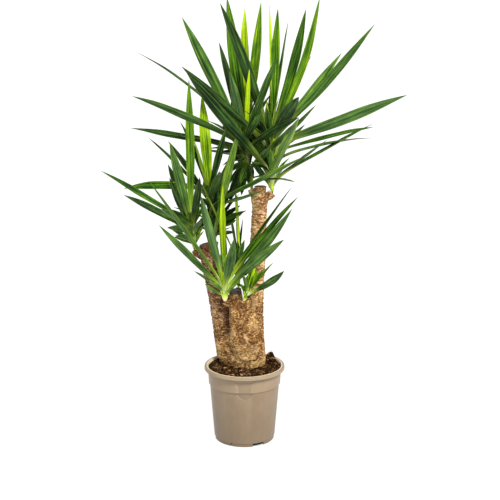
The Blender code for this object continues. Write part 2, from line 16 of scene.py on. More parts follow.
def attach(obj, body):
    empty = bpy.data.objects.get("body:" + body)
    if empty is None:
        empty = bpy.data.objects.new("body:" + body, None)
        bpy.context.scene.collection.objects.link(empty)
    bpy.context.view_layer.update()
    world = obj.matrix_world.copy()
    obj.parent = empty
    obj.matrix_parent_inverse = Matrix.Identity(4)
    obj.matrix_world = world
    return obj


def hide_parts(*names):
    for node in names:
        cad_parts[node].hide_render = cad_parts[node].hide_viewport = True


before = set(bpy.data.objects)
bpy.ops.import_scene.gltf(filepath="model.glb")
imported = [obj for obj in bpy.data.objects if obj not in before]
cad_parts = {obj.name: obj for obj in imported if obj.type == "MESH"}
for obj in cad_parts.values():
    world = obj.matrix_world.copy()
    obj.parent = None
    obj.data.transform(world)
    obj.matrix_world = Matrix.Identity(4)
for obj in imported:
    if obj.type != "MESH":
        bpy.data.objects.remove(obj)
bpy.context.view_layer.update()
MM = 0.001


# Pot: one thin moulding of taupe polypropylene. It has a rolled lip, a band under the lip that steps out from
# the tapered body, a shield sunk into the front for a label, and a foot ring with drain cuts.
POT_HEIGHT = 229.5 * MM
LIP_RADIUS = 120 * MM
LIP_FOOT_HEIGHT = POT_HEIGHT - 11 * MM
MOUTH_RADIUS = 110 * MM
SHOULDER_TOP_RADIUS = 109.3 * MM
SHOULDER_FOOT_RADIUS = 107.3 * MM
SHOULDER_FOOT_HEIGHT = 176 * MM
WALL_TOP_HEIGHT = 173.5 * MM
WALL_TOP_RADIUS = 104 * MM
BODY_FOOT_RADIUS = 91 * MM
FOOT_RADIUS = 89 * MM
FOOT_RING_WIDTH = 4 * MM
FOOT_HEIGHT = 10 * MM
FLOOR_THICKNESS = 4 * MM
WALL_THICKNESS = 3 * MM
CENTRE_FOOT_RADIUS = 24 * MM
FOOT_CUTS = ((28, 24), (-25.5, 2))
FOOT_CUT_REPEATS = 3
SHIELD_OUTLINE = ((154, 4), (157, 10), (161, 16), (167, 22), (173.5, 27), (176, 18), (186, 18.5), (197, 22),
                  (205, 26), (212.5, 32))
SHIELD_SUNK = 1.5 * MM
SHIELD_EDGE = 1.1 * MM
FOOT_ROUND = 0.8 * MM
LIP_UNDER_ROUND = 1.2 * MM
LIP_TOP_ROUND = 3.2 * MM
LIP_LEAN = 8
MOUTH_BEAD = 1.5 * MM
POT_TURN_STEP = 2.5
SHIELD_TURN_STEP = 0.4
CUT_EDGE_TURN = 0.06


class Wire:
    """One output of a node. Arithmetic on it adds Math nodes to its tree."""

    def __init__(self, tree, socket):
        self.tree, self.socket = tree, socket

    def also(self, place):
        """Another output of the same node."""
        return Wire(self.tree, [socket for socket in self.socket.node.outputs if socket.enabled][place])

    def __add__(self, other):
        return self.tree.maths("ADD", self, other)

    __radd__ = __add__

    def __sub__(self, other):
        return self.tree.maths("SUBTRACT", self, other)

    def __rsub__(self, other):
        return self.tree.maths("SUBTRACT", other, self)

    def __mul__(self, other):
        return self.tree.maths("MULTIPLY", self, other)

    __rmul__ = __mul__

    def __pow__(self, other):
        return self.tree.maths("POWER", self, other)

    def __abs__(self):
        return self.tree.maths("ABSOLUTE", self)

    def __gt__(self, other):
        return self.tree.maths("GREATER_THAN", self, other)

    def clamped(self, low, high, start=0.0, end=1.0):
        """It goes from start to end as the value goes from low to high, with soft ends."""
        return self.tree.add("ShaderNodeMapRange", {"interpolation_type": "SMOOTHSTEP"},
                             {0: self, 1: low, 2: high, 3: start, 4: end})


class Nodes:
    """A node tree that is written as calls."""

    def __init__(self, tree):
        self.tree = tree

    def add(self, kind, settings=None, sockets=None, out=0):
        """A node with its settings set first, then its sockets by name or place. Gives one output."""
        node = self.tree.nodes.new(kind)
        for name, value in (settings or {}).items():
            if name == "stops":
                self.set_stops(node.color_ramp, value)
            else:
                setattr(node, name, value)
        for key, value in (sockets or {}).items():
            live = [socket for socket in node.inputs if socket.enabled]
            self.put(live[key] if isinstance(key, int) else next(s for s in live if s.name == key), value)
        return Wire(self, [socket for socket in node.outputs if socket.enabled][out])

    def put(self, socket, value):
        if isinstance(value, Wire):
            self.tree.links.new(socket, value.socket)
        else:
            socket.default_value = value

    def set_stops(self, ramp, stops):
        while len(ramp.elements) < len(stops):
            ramp.elements.new(1.0)
        for element, (place, colour) in zip(ramp.elements, stops):
            element.position = place
            element.color = (*colour, 1)

    def maths(self, operation, *values):
        return self.add("ShaderNodeMath", {"operation": operation}, dict(enumerate(values)))

    def vector(self, operation, *values):
        return self.add("ShaderNodeVectorMath", {"operation": operation}, dict(enumerate(values)))

    def split(self, value, part):
        return self.add("ShaderNodeSeparateXYZ", None, {0: value}, "XYZ".index(part))

    def joined(self, *values):
        return self.add("ShaderNodeCombineXYZ", None, dict(enumerate(values)))

    def noise(self, at, scale, detail=3.0, roughness=0.55, kind="FBM"):
        return self.add("ShaderNodeTexNoise", {"noise_type": kind},
                        {"Vector": at, "Scale": scale, "Detail": detail, "Roughness": roughness})

    def cells(self, at, scale, feature="F1"):
        return self.add("ShaderNodeTexVoronoi", {"feature": feature}, {"Vector": at, "Scale": scale})


class Finish(Nodes):
    """A Principled material. Constants go on the shader's own sockets."""

    def __init__(self, name, **constants):
        self.material = bpy.data.materials.new(name)
        self.material.use_nodes = True
        super().__init__(self.material.node_tree)
        self.shader = self.tree.nodes["Principled BSDF"]
        self.set(**constants)
        self.place = self.add("ShaderNodeTexCoord", None, None, 3)

    def set(self, **values):
        for name, value in values.items():
            self.put(self.shader.inputs[name.replace("_", " ").title().replace("Ior", "IOR")], value)

    def stretched(self, *scale):
        return self.vector("MULTIPLY", self.place, scale)

    def value(self, name):
        return self.add("ShaderNodeAttribute", {"attribute_name": name}, None, 2)

    def values(self, *names):
        return [self.value(name) for name in names]

    def mixed(self, share, first, second):
        first, second = ((*c, 1) if isinstance(c, tuple) else c for c in (first, second))
        return self.add("ShaderNodeMix", {"data_type": "RGBA"}, {0: share, 1: first, 2: second})

    def layered(self, tone, *layers):
        """The tone with the colour of each layer of (share, colour) mixed in, one after another."""
        for share, colour in layers:
            tone = self.mixed(share, tone, colour)
        return tone

    def ramp(self, value, *stops):
        return self.add("ShaderNodeValToRGB", {"stops": stops}, {0: value})

    def bumped(self, height, depth, strength=1.0):
        bump = self.add("ShaderNodeBump", None, {"Strength": strength, "Distance": depth, "Height": height})
        self.set(normal=bump)


def between(profile, height):
    """The radius at a height on a profile of (height, radius) from the bottom up."""
    return float(np.interp(height, *zip(*profile)))


def soft_step(value):
    value = min(1.0, max(0.0, value))
    return value * value * (3 - 2 * value)


def wall_radius(height):
    """The outer wall, with soft corners where the band steps out."""
    step = soft_step((height - WALL_TOP_HEIGHT) / (SHOULDER_FOOT_HEIGHT - WALL_TOP_HEIGHT))
    body = (FOOT_HEIGHT, BODY_FOOT_RADIUS), (WALL_TOP_HEIGHT, WALL_TOP_RADIUS)
    band = (SHOULDER_FOOT_HEIGHT, SHOULDER_FOOT_RADIUS), (LIP_FOOT_HEIGHT, SHOULDER_TOP_RADIUS)
    return between(body, height) * (1 - step) + between(band, height) * step


def inside_radius(height):
    outside = ((FOOT_HEIGHT, BODY_FOOT_RADIUS), (WALL_TOP_HEIGHT, WALL_TOP_RADIUS),
               (LIP_FOOT_HEIGHT, SHOULDER_TOP_RADIUS), (POT_HEIGHT, MOUTH_RADIUS + WALL_THICKNESS))
    return between(outside, height) - WALL_THICKNESS


def shield_depth(turn, height):
    """How far the shield is sunk at a turn from the front and a height, with a soft edge."""
    foot, top = SHIELD_OUTLINE[0][0] * MM, SHIELD_OUTLINE[-1][0] * MM
    if not foot < height < top:
        return 0.0
    half = between(SHIELD_OUTLINE, height / MM) * MM
    inside = min(half - abs(turn) * wall_radius(height), top - height, height - foot)
    return SHIELD_SUNK * soft_step(inside / SHIELD_EDGE)


def arc(centre, radius, start, end, steps):
    """Points of (radius, height) round a centre, in degrees from outward towards up."""
    turns = np.radians(np.linspace(start, end, steps))
    return [(centre[0] + radius * math.cos(t), centre[1] + radius * math.sin(t)) for t in turns]


def pot_profile():
    """(radius, height, True on the outer wall) from the middle of the underside round to the inside floor."""
    floor_top = FOOT_HEIGHT + FLOOR_THICKNESS
    inner_foot = FOOT_RADIUS - FOOT_RING_WIDTH
    under = [(0, 0), (CENTRE_FOOT_RADIUS - FOOT_ROUND, 0), (CENTRE_FOOT_RADIUS, FOOT_ROUND),
             (CENTRE_FOOT_RADIUS, FOOT_HEIGHT), (inner_foot, FOOT_HEIGHT)]
    under += [(inner_foot, FOOT_ROUND), (inner_foot + FOOT_ROUND, 0), (FOOT_RADIUS - FOOT_ROUND, 0),
              (FOOT_RADIUS, FOOT_ROUND), (FOOT_RADIUS, FOOT_HEIGHT - 1.5 * MM),
              (FOOT_RADIUS + 0.3 * MM, FOOT_HEIGHT - 0.5 * MM)]
    plain = np.linspace(FOOT_HEIGHT + 1 * MM, 150 * MM, 34)
    shielded = np.linspace(151 * MM, LIP_FOOT_HEIGHT, 84)
    wall = [(wall_radius(z), z, True) for z in (*plain, *shielded)]
    lip = [(wall_radius(LIP_FOOT_HEIGHT) + 0.6 * MM, LIP_FOOT_HEIGHT - 0.1 * MM)]
    centre = LIP_RADIUS - LIP_UNDER_ROUND, LIP_FOOT_HEIGHT + LIP_UNDER_ROUND
    lip += arc(centre, LIP_UNDER_ROUND, -90, LIP_LEAN, 6)
    centre = LIP_RADIUS - 0.2 * MM - LIP_TOP_ROUND, POT_HEIGHT - 0.6 * MM - LIP_TOP_ROUND
    lip += arc(centre, LIP_TOP_ROUND, LIP_LEAN, 78, 7)
    lip += [(MOUTH_RADIUS + 4.2 * MM, POT_HEIGHT - 0.9 * MM),
            (MOUTH_RADIUS + 3.4 * MM, POT_HEIGHT - 0.8 * MM)]
    lip += arc((MOUTH_RADIUS + MOUTH_BEAD, POT_HEIGHT - MOUTH_BEAD), MOUTH_BEAD, 70, 180, 6)
    lip += [(inside_radius(z), z) for z in (LIP_FOOT_HEIGHT, WALL_TOP_HEIGHT, floor_top)] + [(0, floor_top)]
    return [(*point, False) for point in under] + wall + [(*point, False) for point in lip]


def pot_turns():
    """The turns of the pot's upright lines: close across the shield, and a pair at each end of a cut."""
    front = math.degrees(SHIELD_OUTLINE[-1][1] * MM / SHOULDER_FOOT_RADIUS) + 1
    turns = {*np.round(np.arange(-180, 180, POT_TURN_STEP), 3)}
    turns |= {*np.round(np.arange(-front, front, SHIELD_TURN_STEP), 3)}
    for repeat in range(FOOT_CUT_REPEATS):
        for middle, span in FOOT_CUTS:
            for end in (middle - span / 2, middle + span / 2):
                centre = (end + 360 * repeat / FOOT_CUT_REPEATS + 180) % 360 - 180
                turns |= {round(centre - CUT_EDGE_TURN, 3), round(centre + CUT_EDGE_TURN, 3)}
    return sorted(turns)


def in_foot_cut(turn):
    apart = 360 / FOOT_CUT_REPEATS
    return any(abs((turn - middle + apart / 2) % apart - apart / 2) < span / 2 for middle, span in FOOT_CUTS)


def build_pot():
    profile = pot_profile()
    cut_top = FOOT_HEIGHT - 0.5 * MM
    bm = bmesh.new()
    rings = []
    for degrees in pot_turns():
        turn = math.radians(degrees)
        ring = []
        for radius, height, on_wall in profile:
            if on_wall:
                radius -= shield_depth(turn, height)
            if in_foot_cut(degrees) and radius > 2 * CENTRE_FOOT_RADIUS:
                height = max(height, cut_top)
            ring.append(bm.verts.new((radius * math.sin(turn), -radius * math.cos(turn), height)))
        rings.append(ring)
    for first, second in zip(rings, rings[1:] + rings[:1]):
        for i in range(len(profile) - 1):
            bm.faces.new((first[i], second[i], second[i + 1], first[i + 1]))
    bmesh.ops.remove_doubles(bm, verts=bm.verts, dist=0.01 * MM)
    bmesh.ops.dissolve_degenerate(bm, edges=bm.edges, dist=0.01 * MM)
    bmesh.ops.recalc_face_normals(bm, faces=bm.faces)
    made = piece_from(bm, "nursery_pot", 32)
    places = [vert.co for vert in made.data.vertices]
    store(made.data, "sunk", [shield_depth(math.atan2(x, -y), z) / SHIELD_SUNK for x, y, z in places])
    return made


def piece_from(bm, name, sharp_degrees=None):
    """An object at the origin from a bmesh, shaded smooth except over sharp edges."""
    mesh = bpy.data.meshes.new(name)
    bm.to_mesh(mesh)
    bm.free()
    mesh.shade_smooth()
    if sharp_degrees:
        mesh.set_sharp_from_angle(angle=math.radians(sharp_degrees))
    return placed(name, mesh)


def placed(name, data):
    """A new object of the scene, at the origin."""
    made = bpy.data.objects.new(name, data)
    bpy.context.scene.collection.objects.link(made)
    return made


def store(mesh, name, values):
    """A value between 0 and 1 for each vertex, which the looks can read."""
    stored = mesh.attributes.new(name, "FLOAT", "POINT")
    stored.data.foreach_set("value", np.clip(values, 0, 1).astype(np.float32))


def fitted(piece, look, slot, *nodes):
    """The piece gets its look, rides with the plant and stands for these nodes."""
    piece.data.materials.clear()
    piece.data.materials.append(look.material)
    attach(piece, "root")
    if nodes:
        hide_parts(*nodes)


def taupe_plastic():
    """Satin polypropylene with faint flow marks and scuffs and a lighter lip. Painted shade low down, under
    the lip and in the shield, and painted highlights on the mouth's bead and the shield's edges.
    """
    look = Finish("taupe_plastic", specular_ior_level=0.4, coat_weight=0.1, coat_roughness=0.3)
    flow = look.noise(look.stretched(1, 1, 0.06), 38, 3, 0.6)
    mottle = look.noise(look.place, 22, 4)
    height = look.split(look.place, "Z")
    away = look.vector("LENGTH", look.stretched(1, 1, 0))
    lip = height.clamped(LIP_FOOT_HEIGHT, LIP_FOOT_HEIGHT + 1 * MM)
    # Painted highlight: a near-cream line on the bead at the mouth's inner edge.
    bead_highlight = height.clamped(POT_HEIGHT - 9 * MM, POT_HEIGHT - 5 * MM)
    bead_highlight *= away.clamped(MOUTH_RADIUS + 4 * MM, MOUTH_RADIUS + 2.5 * MM)
    band = height.clamped(WALL_TOP_HEIGHT, SHOULDER_FOOT_HEIGHT) * (1 - lip)
    # Painted shadow: a thin dark line on the wall just under the lip.
    under_lip_shadow = height.clamped(LIP_FOOT_HEIGHT - 6 * MM, LIP_FOOT_HEIGHT - 4 * MM)
    under_lip_shadow *= height.clamped(LIP_FOOT_HEIGHT + 1 * MM, LIP_FOOT_HEIGHT)
    sunk = look.value("sunk")
    # Painted highlight on the shield's sunk edges, strongest near its top corners.
    shield_edge_highlight = (sunk * (1 - sunk) * 4).clamped(0.3, 1.0) * height.clamped(190 * MM, 198 * MM, 0.25, 1.0)
    scuff = look.noise(look.stretched(1, 1, 0.3), 420, 2).clamped(0.6, 0.75)
    tone = look.ramp(flow * 0.5 + mottle * 0.5, (0.3, (0.202, 0.140, 0.084)), (0.5, (0.240, 0.170, 0.102)),
                     (0.72, (0.282, 0.202, 0.125)))
    tone = look.layered(
        tone,
        # painted shade, darker towards the bottom
        (height.clamped(0.19, 0.02) * 0.5, (0.125, 0.086, 0.052)),
        (lip * 0.2, (0.58, 0.45, 0.29)),
        (bead_highlight * 0.8, (0.80, 0.67, 0.48)),
        (band * 0.14, (0.50, 0.38, 0.25)),
        # painted shade on the foot ring, next to the floor
        (height.clamped(0.014, 0.008) * 0.3, (0.10, 0.065, 0.035)),
        (under_lip_shadow * 0.75, (0.07, 0.045, 0.026)),
        # painted shade inside the sunk shield
        (sunk * 0.28, (0.14, 0.105, 0.062)),
        (shield_edge_highlight * 0.6, (0.58, 0.46, 0.31)),
        (scuff * 0.08, (0.5, 0.42, 0.33)))
    look.set(base_color=tone, roughness=0.38 + mottle * 0.16 + scuff * 0.1)
    look.bumped(flow * 0.6 + look.noise(look.place, 900, 1) * 0.4, 0.00025, 0.5)
    return look


fitted(build_pot(), taupe_plastic(), "pot_plastic", "pot")


# Soil: loose dark peat pressed a few millimetres under the lip, with chips of bark, pale grit and root
# fibres lying in it, and one clod that a dead root lifted at the back right.
SOIL_HEIGHT = 221.5 * MM
SOIL_LUMP = 2.5 * MM
CLOD_AT = Vector((80 * MM, 62 * MM))
CLOD_SPREAD = 22 * MM
CLOD_RISE = 21 * MM
CLOD_LUMP = 12 * MM
CLOD_CRUMBS = 8 * MM
ROOT_LENGTH = 19 * MM
ROOT_RADIUS = 2.1 * MM
ROOT_SIDES = 8
GAP = 0.3 * MM
SOIL_RINGS = 46
SOIL_SIDES = 190
SOIL_BANK = 2 * MM
SOIL_EDGE_DROPS = (30 * MM, 8 * MM)


class Shape(Nodes):
    """A geometry tree. Each named input gets a default that a modifier can change."""

    SOCKETS = {float: "NodeSocketFloat", int: "NodeSocketInt"}

    def __init__(self, name, **inputs):
        super().__init__(bpy.data.node_groups.new(name, "GeometryNodeTree"))
        add_socket = self.tree.interface.new_socket
        add_socket("Geometry", in_out="INPUT", socket_type="NodeSocketGeometry")
        add_socket("Geometry", in_out="OUTPUT", socket_type="NodeSocketGeometry")
        material = add_socket("Material", in_out="INPUT", socket_type="NodeSocketMaterial")
        self.names = {"Material": material.identifier}
        for title, value in inputs.items():
            socket = add_socket(title, in_out="INPUT", socket_type=self.SOCKETS[type(value)])
            socket.default_value = value
            self.names[title] = socket.identifier
        self.entry = self.tree.nodes.new("NodeGroupInput")
        self.exit = self.tree.nodes.new("NodeGroupOutput")

    def given(self, title="Geometry"):
        return Wire(self, self.entry.outputs[title])

    def stored(self, geometry, name, value, domain="POINT", kind="FLOAT"):
        return self.add("GeometryNodeStoreNamedAttribute", {"data_type": kind, "domain": domain},
                        {"Geometry": geometry, "Name": name, "Value": value})

    def named(self, name, kind="FLOAT"):
        return self.add("GeometryNodeInputNamedAttribute", {"data_type": kind}, {"Name": name})

    def random(self, low, high, seed):
        vector = isinstance(low, tuple)
        return self.add("FunctionNodeRandomValue", {"data_type": "FLOAT_VECTOR" if vector else "FLOAT"},
                        {"Min": low, "Max": high, "Seed": seed})

    def scattered(self, selection):
        """Points on the faces that the selection takes, as the inputs Density and Seed say."""
        sockets = {"Mesh": self.given(), "Selection": selection}
        sockets |= {title: self.given(title) for title in ("Density", "Seed")}
        return self.add("GeometryNodeDistributePointsOnFaces", None, sockets)

    def turned(self, low, high, seed):
        return self.add("FunctionNodeEulerToRotation", None, {0: self.random(low, high, seed)})

    def swept(self, line, ring):
        return self.add("GeometryNodeCurveToMesh", None,
                        {"Curve": line, "Profile Curve": ring, "Fill Caps": True})

    def rod(self, start, middle, end, points, radius):
        """A capped rod with five sides along a bent line."""
        line = self.add("GeometryNodeCurveQuadraticBezier", None,
                        {"Resolution": points, "Start": start, "Middle": middle, "End": end})
        ring = self.add("GeometryNodeCurvePrimitiveCircle", None, {"Resolution": 5, "Radius": radius})
        return self.swept(line, ring)

    def instanced(self, points, piece, turn, size, **tags):
        """The piece on each point, turned and sized, with a value stored for each tag."""
        pieces = self.add("GeometryNodeInstanceOnPoints", None,
                          {"Points": points, "Instance": piece, "Rotation": turn, "Scale": size})
        for name, value in tags.items():
            pieces = self.stored(pieces, name, value, "INSTANCE")
        return pieces

    def finish(self, geometry):
        geometry = self.add("GeometryNodeRealizeInstances", None, {"Geometry": geometry})
        geometry = self.add("GeometryNodeSetMaterial", None,
                            {"Geometry": geometry, "Material": self.given("Material")})
        self.tree.links.new(self.exit.inputs[0], geometry.socket)

    def applied(self, piece, name, look, **values):
        """The tree's result on a piece, as a plain mesh of its own. The piece itself is removed."""
        modifier = piece.modifiers.new(name, "NODES")
        modifier.node_group = self.tree
        for title, value in {"Material": look.material, **values}.items():
            modifier[self.names[title]] = value
        bpy.context.view_layer.update()
        evaluated = piece.evaluated_get(bpy.context.evaluated_depsgraph_get())
        mesh = bpy.data.meshes.new_from_object(evaluated)
        mesh.name = name
        bpy.data.objects.remove(piece)
        return placed(name, mesh)


def soil_noise(x, y, layer, grain):
    return noise.noise(Vector((x, y, layer)) * grain)


def soil_top(x, y):
    """The height of the soil: lumps and crumbs, a bank along the wall, and the clod."""
    lumps = SOIL_LUMP * soil_noise(x, y, 0, 55)
    crumbs = 1.1 * MM * soil_noise(x, y, 0.3, 260) + 0.7 * MM * soil_noise(x, y, 0.7, 700)
    bank = SOIL_BANK * soft_step((math.hypot(x, y) / MOUTH_RADIUS - 0.7) / 0.25)
    spread = (Vector((x, y)) - CLOD_AT).length / CLOD_SPREAD
    broken = CLOD_LUMP * soil_noise(x, y, 1.3, 140) + CLOD_CRUMBS * soil_noise(x, y, 2.3, 330)
    clod = math.exp(-spread ** 2 * 2) * (CLOD_RISE + broken)
    return SOIL_HEIGHT + lumps + crumbs + bank + clod


def circle(sides):
    """The cosine and sine of turns spread evenly round."""
    return [(math.cos(math.tau * i / sides), math.sin(math.tau * i / sides)) for i in range(sides)]


def skin(bm, rings):
    """Side faces between equal rings of points, with the first and the last ring capped."""
    loops = [[bm.verts.new(point) for point in ring] for ring in rings]
    for low, high in zip(loops, loops[1:]):
        for i in range(len(low)):
            j = (i + 1) % len(low)
            bm.faces.new((low[i], low[j], high[j], high[i]))
    bm.faces.new(reversed(loops[0]))
    bm.faces.new(loops[-1])


def skinned(name, rings, sharp_degrees=None):
    """A closed piece over these rings."""
    bm = bmesh.new()
    skin(bm, rings)
    return piece_from(bm, name, sharp_degrees)


def build_soil_bed():
    """A disc of soil that ends on the pot's wall, closed below."""
    rows = [(inside_radius(SOIL_HEIGHT - drop) - 2 * GAP, SOIL_HEIGHT - drop) for drop in SOIL_EDGE_DROPS]
    edge = inside_radius(SOIL_HEIGHT) - GAP
    rows += [(edge * (1 - (i / SOIL_RINGS) ** 1.2), None) for i in range(SOIL_RINGS)]
    rings = []
    for radius, height in rows:
        places = [(radius * c, radius * s) for c, s in circle(SOIL_SIDES)]
        rings.append([(x, y, soil_top(x, y) if height is None else height) for x, y in places])
    return skinned("soil_bed", rings)


def on_top(tree):
    """True on faces that look up, within the tree's input Reach from the pot's axis."""
    place = tree.vector("MULTIPLY", tree.add("GeometryNodeInputPosition"), (1, 1, 0))
    near = tree.given("Reach") > tree.vector("LENGTH", place)
    return near * (tree.split(tree.add("GeometryNodeInputNormal"), "Z") > 0.35)


def crumb_tree():
    """Crumbs scattered over a surface, each turned and stretched its own way and roughened."""
    tree = Shape("crumbs", Density=90000.0, Least=1.0 * MM, Most=3.0 * MM, Stretch=1.6, Roughness=0.5,
                 Reach=0.1, Seed=1)
    points = tree.scattered(on_top(tree))
    grain = tree.add("GeometryNodeMeshIcoSphere", None, {"Radius": 1.0, "Subdivisions": 2})
    size = tree.random(0.0, 1.0, 5) ** 2.2
    size = tree.given("Least") + size * (tree.given("Most") - tree.given("Least"))
    shape = tree.joined(size * tree.given("Stretch"), size * tree.random(0.6, 1.0, 7),
                        size * tree.random(0.35, 0.75, 8))
    turn = tree.turned((-0.6, -0.6, 0.0), (0.6, 0.6, math.tau), 9)
    grains = tree.instanced(points, grain, turn, shape, tint=tree.random(0.0, 1.0, 11), grain=size)
    grains = tree.add("GeometryNodeRealizeInstances", None, {"Geometry": grains})
    where = tree.add("GeometryNodeInputPosition")
    push = tree.add("ShaderNodeTexNoise", None, {"Vector": where, "Scale": 520.0, "Detail": 2.0}, 1)
    push = tree.vector("SUBTRACT", push, (0.5, 0.5, 0.5))
    rough = tree.named("grain") * tree.given("Roughness") * 3.4
    push = tree.vector("MULTIPLY", push, tree.joined(rough, rough, rough))
    grains = tree.add("GeometryNodeSetPosition", None, {"Geometry": grains, "Offset": push})
    tree.finish(grains)
    return tree


def peat():
    look = Finish("peat", roughness=0.95, specular_ior_level=0.05)
    mottle = look.noise(look.place, 160, 4, 0.65)
    fine = look.noise(look.place, 900, 2)
    look.set(base_color=look.ramp(mottle * 0.6 + fine * 0.4, (0.32, (0.004, 0.002, 0.0006)),
                                  (0.5, (0.015, 0.0075, 0.0022)), (0.68, (0.052, 0.026, 0.008))))
    look.bumped(fine, 0.0008)
    return look


def crumb_look():
    """Peat crumbs from near black to warm brown."""
    look = Finish("peat_crumbs", roughness=0.9, specular_ior_level=0.06)
    tone = look.ramp(look.value("tint"), (0.0, (0.004, 0.002, 0.0006)), (0.4, (0.012, 0.0055, 0.0016)),
                     (0.75, (0.050, 0.023, 0.0065)), (1.0, (0.22, 0.115, 0.042)))
    fine = look.noise(look.place, 1300, 2)
    look.set(base_color=look.mixed(fine * 0.4, tone, (0.008, 0.004, 0.001)))
    return look


def chip_look():
    """Bark chips, reddish tan with dark grain, and a few pale ones."""
    look = Finish("bark_chips", roughness=0.8, specular_ior_level=0.12)
    tone = look.ramp(look.value("tint"), (0.0, (0.05, 0.020, 0.006)), (0.45, (0.15, 0.066, 0.022)),
                     (0.8, (0.32, 0.165, 0.062)), (1.0, (0.52, 0.33, 0.16)))
    grain = look.noise(look.stretched(1, 0.3, 1), 700, 3).clamped(0.45, 0.7)
    look.set(base_color=look.mixed(grain * 0.7, tone, (0.03, 0.013, 0.004)))
    return look


def grit_look():
    look = Finish("pale_grit", roughness=0.7)
    look.set(base_color=look.ramp(look.value("tint"), (0.0, (0.22, 0.18, 0.13)), (1.0, (0.55, 0.50, 0.43))))
    return look


def fibre_tree():
    """Short curved root fibres that lie on the soil."""
    tree = Shape("fibres", Density=3000.0, Length=14 * MM, Reach=0.09, Seed=1)
    fibre = tree.rod((-0.5, 0, 0.05), (0, 0.35, 0.25), (0.5, 0, 0.0), 7, 0.025)
    size = tree.given("Length") * tree.random(0.5, 1.4, 3)
    turn = tree.turned((-0.4, -0.4, 0.0), (0.4, 0.4, math.tau), 4)
    tree.finish(tree.instanced(tree.scattered(on_top(tree)), fibre, turn, tree.joined(size, size, size),
                               tint=tree.random(0.0, 1.0, 6)))
    return tree


def dead_root():
    """The broken end of a dead root that stands up out of the clod."""
    rings = []
    for i in range(ROOT_SIDES + 1):
        share = i / ROOT_SIDES
        centre = Vector((CLOD_AT.x - 2 * MM + 4 * MM * share ** 2, CLOD_AT.y - 3 * MM,
                         SOIL_HEIGHT + CLOD_RISE - 8 * MM + ROOT_LENGTH * share))
        radius = ROOT_RADIUS * (1 - 0.75 * share)
        rings.append([centre + Vector((c, s, 0)) * radius for c, s in circle(ROOT_SIDES)])
    return skinned("dead_root", rings)


def copy_of(piece):
    return placed(piece.name + "_copy", piece.data.copy())


soil = build_soil_bed()
crumbs = crumb_tree()
brown_bits, bark_bits, pale_bits = crumb_look(), chip_look(), grit_look()
SCATTERED = (
    ("soil_crumbs", brown_bits,
     {"Density": 90000.0, "Least": 0.9 * MM, "Most": 3.2 * MM, "Reach": 103 * MM, "Seed": 3}),
    ("soil_bark_chips", bark_bits,
     {"Density": 9000.0, "Least": 1.0 * MM, "Most": 4.6 * MM, "Stretch": 1.8, "Reach": 100 * MM, "Seed": 8}),
    ("soil_grit", pale_bits,
     {"Density": 2000.0, "Least": 0.5 * MM, "Most": 1.3 * MM, "Stretch": 1.1, "Reach": 104 * MM, "Seed": 21}),
)
for title, look, sizes in SCATTERED:
    fitted(crumbs.applied(copy_of(soil), title, look, **sizes), look, "soil")
fibres = fibre_tree().applied(copy_of(soil), "soil_fibres", bark_bits, Density=3500.0, Seed=5)
fitted(fibres, bark_bits, "soil")
fitted(dead_root(), bark_bits, "soil")
fitted(soil, peat(), "soil", "soil")


# Trunk: a cane that was sawn and rooted, and has swollen at its base and parted into three stems. Each stem
# was cut flat and sealed, and side shoots grew from just under the cuts. The bark is corky, ringed by leaf
# scars.
PLUG_CENTRE = Vector((-6 * MM, 36 * MM))
PLUG_HALF_WIDTH = 70 * MM
PLUG_HALF_DEPTH = 42 * MM
PLUG_TURN = math.radians(-20)
BASE_SIDES = 72
STEM_SIDES = 40
STEM_PITCH = 5 * MM
LIMB_SIDES = 24
FINE_PITCH = 4 * MM
LIMB_LUMP = 0.6 * MM
BARK_LUMP = 2.2 * MM
BARK_GRAIN = 34.0
BARK_VOXEL = 1.9 * MM

Stem = namedtuple("Stem", "path radii")


def mm(*values):
    return Vector(values) * MM


def stem_along(*rows):
    """A stem along rows of (across, back, up, radius) in millimetres."""
    return Stem([mm(*row[:3]) for row in rows], [row[3] * MM for row in rows])


LEFT_STEM = stem_along((-48, 46, 232, 27), (-57, 42, 296, 32), (-73, 34, 410, 30), (-92, 31, 510, 29),
                       (-107, 31, 566, 25), (-114, 32, 592, 20))
TALL_STEM = stem_along((20, 28, 232, 33), (26, 30, 296, 33), (31, 30, 400, 24), (39, 30, 575, 23),
                       (44, 30, 690, 20.5), (44, 30, 712, 20), (46, 30, 731, 31), (47, 30, 747, 6),
                       (47, 30, 757, 27), (47, 30, 765, 17.5))
SHORT_STEM = stem_along((-5, 26, 232, 29), (-10, 6, 296, 33), (-17, -4, 371, 28), (-24, -9, 430, 21),
                        (-27, -10, 462, 18.5))
BRIDGE = stem_along((14, 20, 250, 40), (12, 14, 320, 36), (8, 10, 380, 30), (4, 6, 430, 13))
SCARRED_STEMS = (LEFT_STEM, TALL_STEM, SHORT_STEM)
RING_PITCHES = (10.5 * MM, 8.5 * MM, 11 * MM)
RING_STRENGTHS = (0.5, 1.0, 0.35)
RIDGE_PUSH = 1.3 * MM
LUMP_PUSH = 1.0 * MM
PIT_PUSH = 0.8 * MM
GRAIN_PUSH = 0.45 * MM
CRACK_PUSH = 1.1 * MM
PIT_DEPTH = 2.2 * MM
CUT_MARGIN = 6 * MM
# Where the base ends, where the bark turns pink, red and flaky, and how far the wax runs, with their blends
BASE_TOP = 300 * MM
BASE_BLEND = 60 * MM
PINK_FROM = 470 * MM
PINK_BLEND = 100 * MM
RED_FROM = 330 * MM
RED_BLEND = 120 * MM
FLAKED_FROM = 520 * MM
FLAKED_BLEND = 120 * MM
WAX_RUN = 14 * MM
WAX_WANDER = 16 * MM
WAX_EDGE = 5 * MM
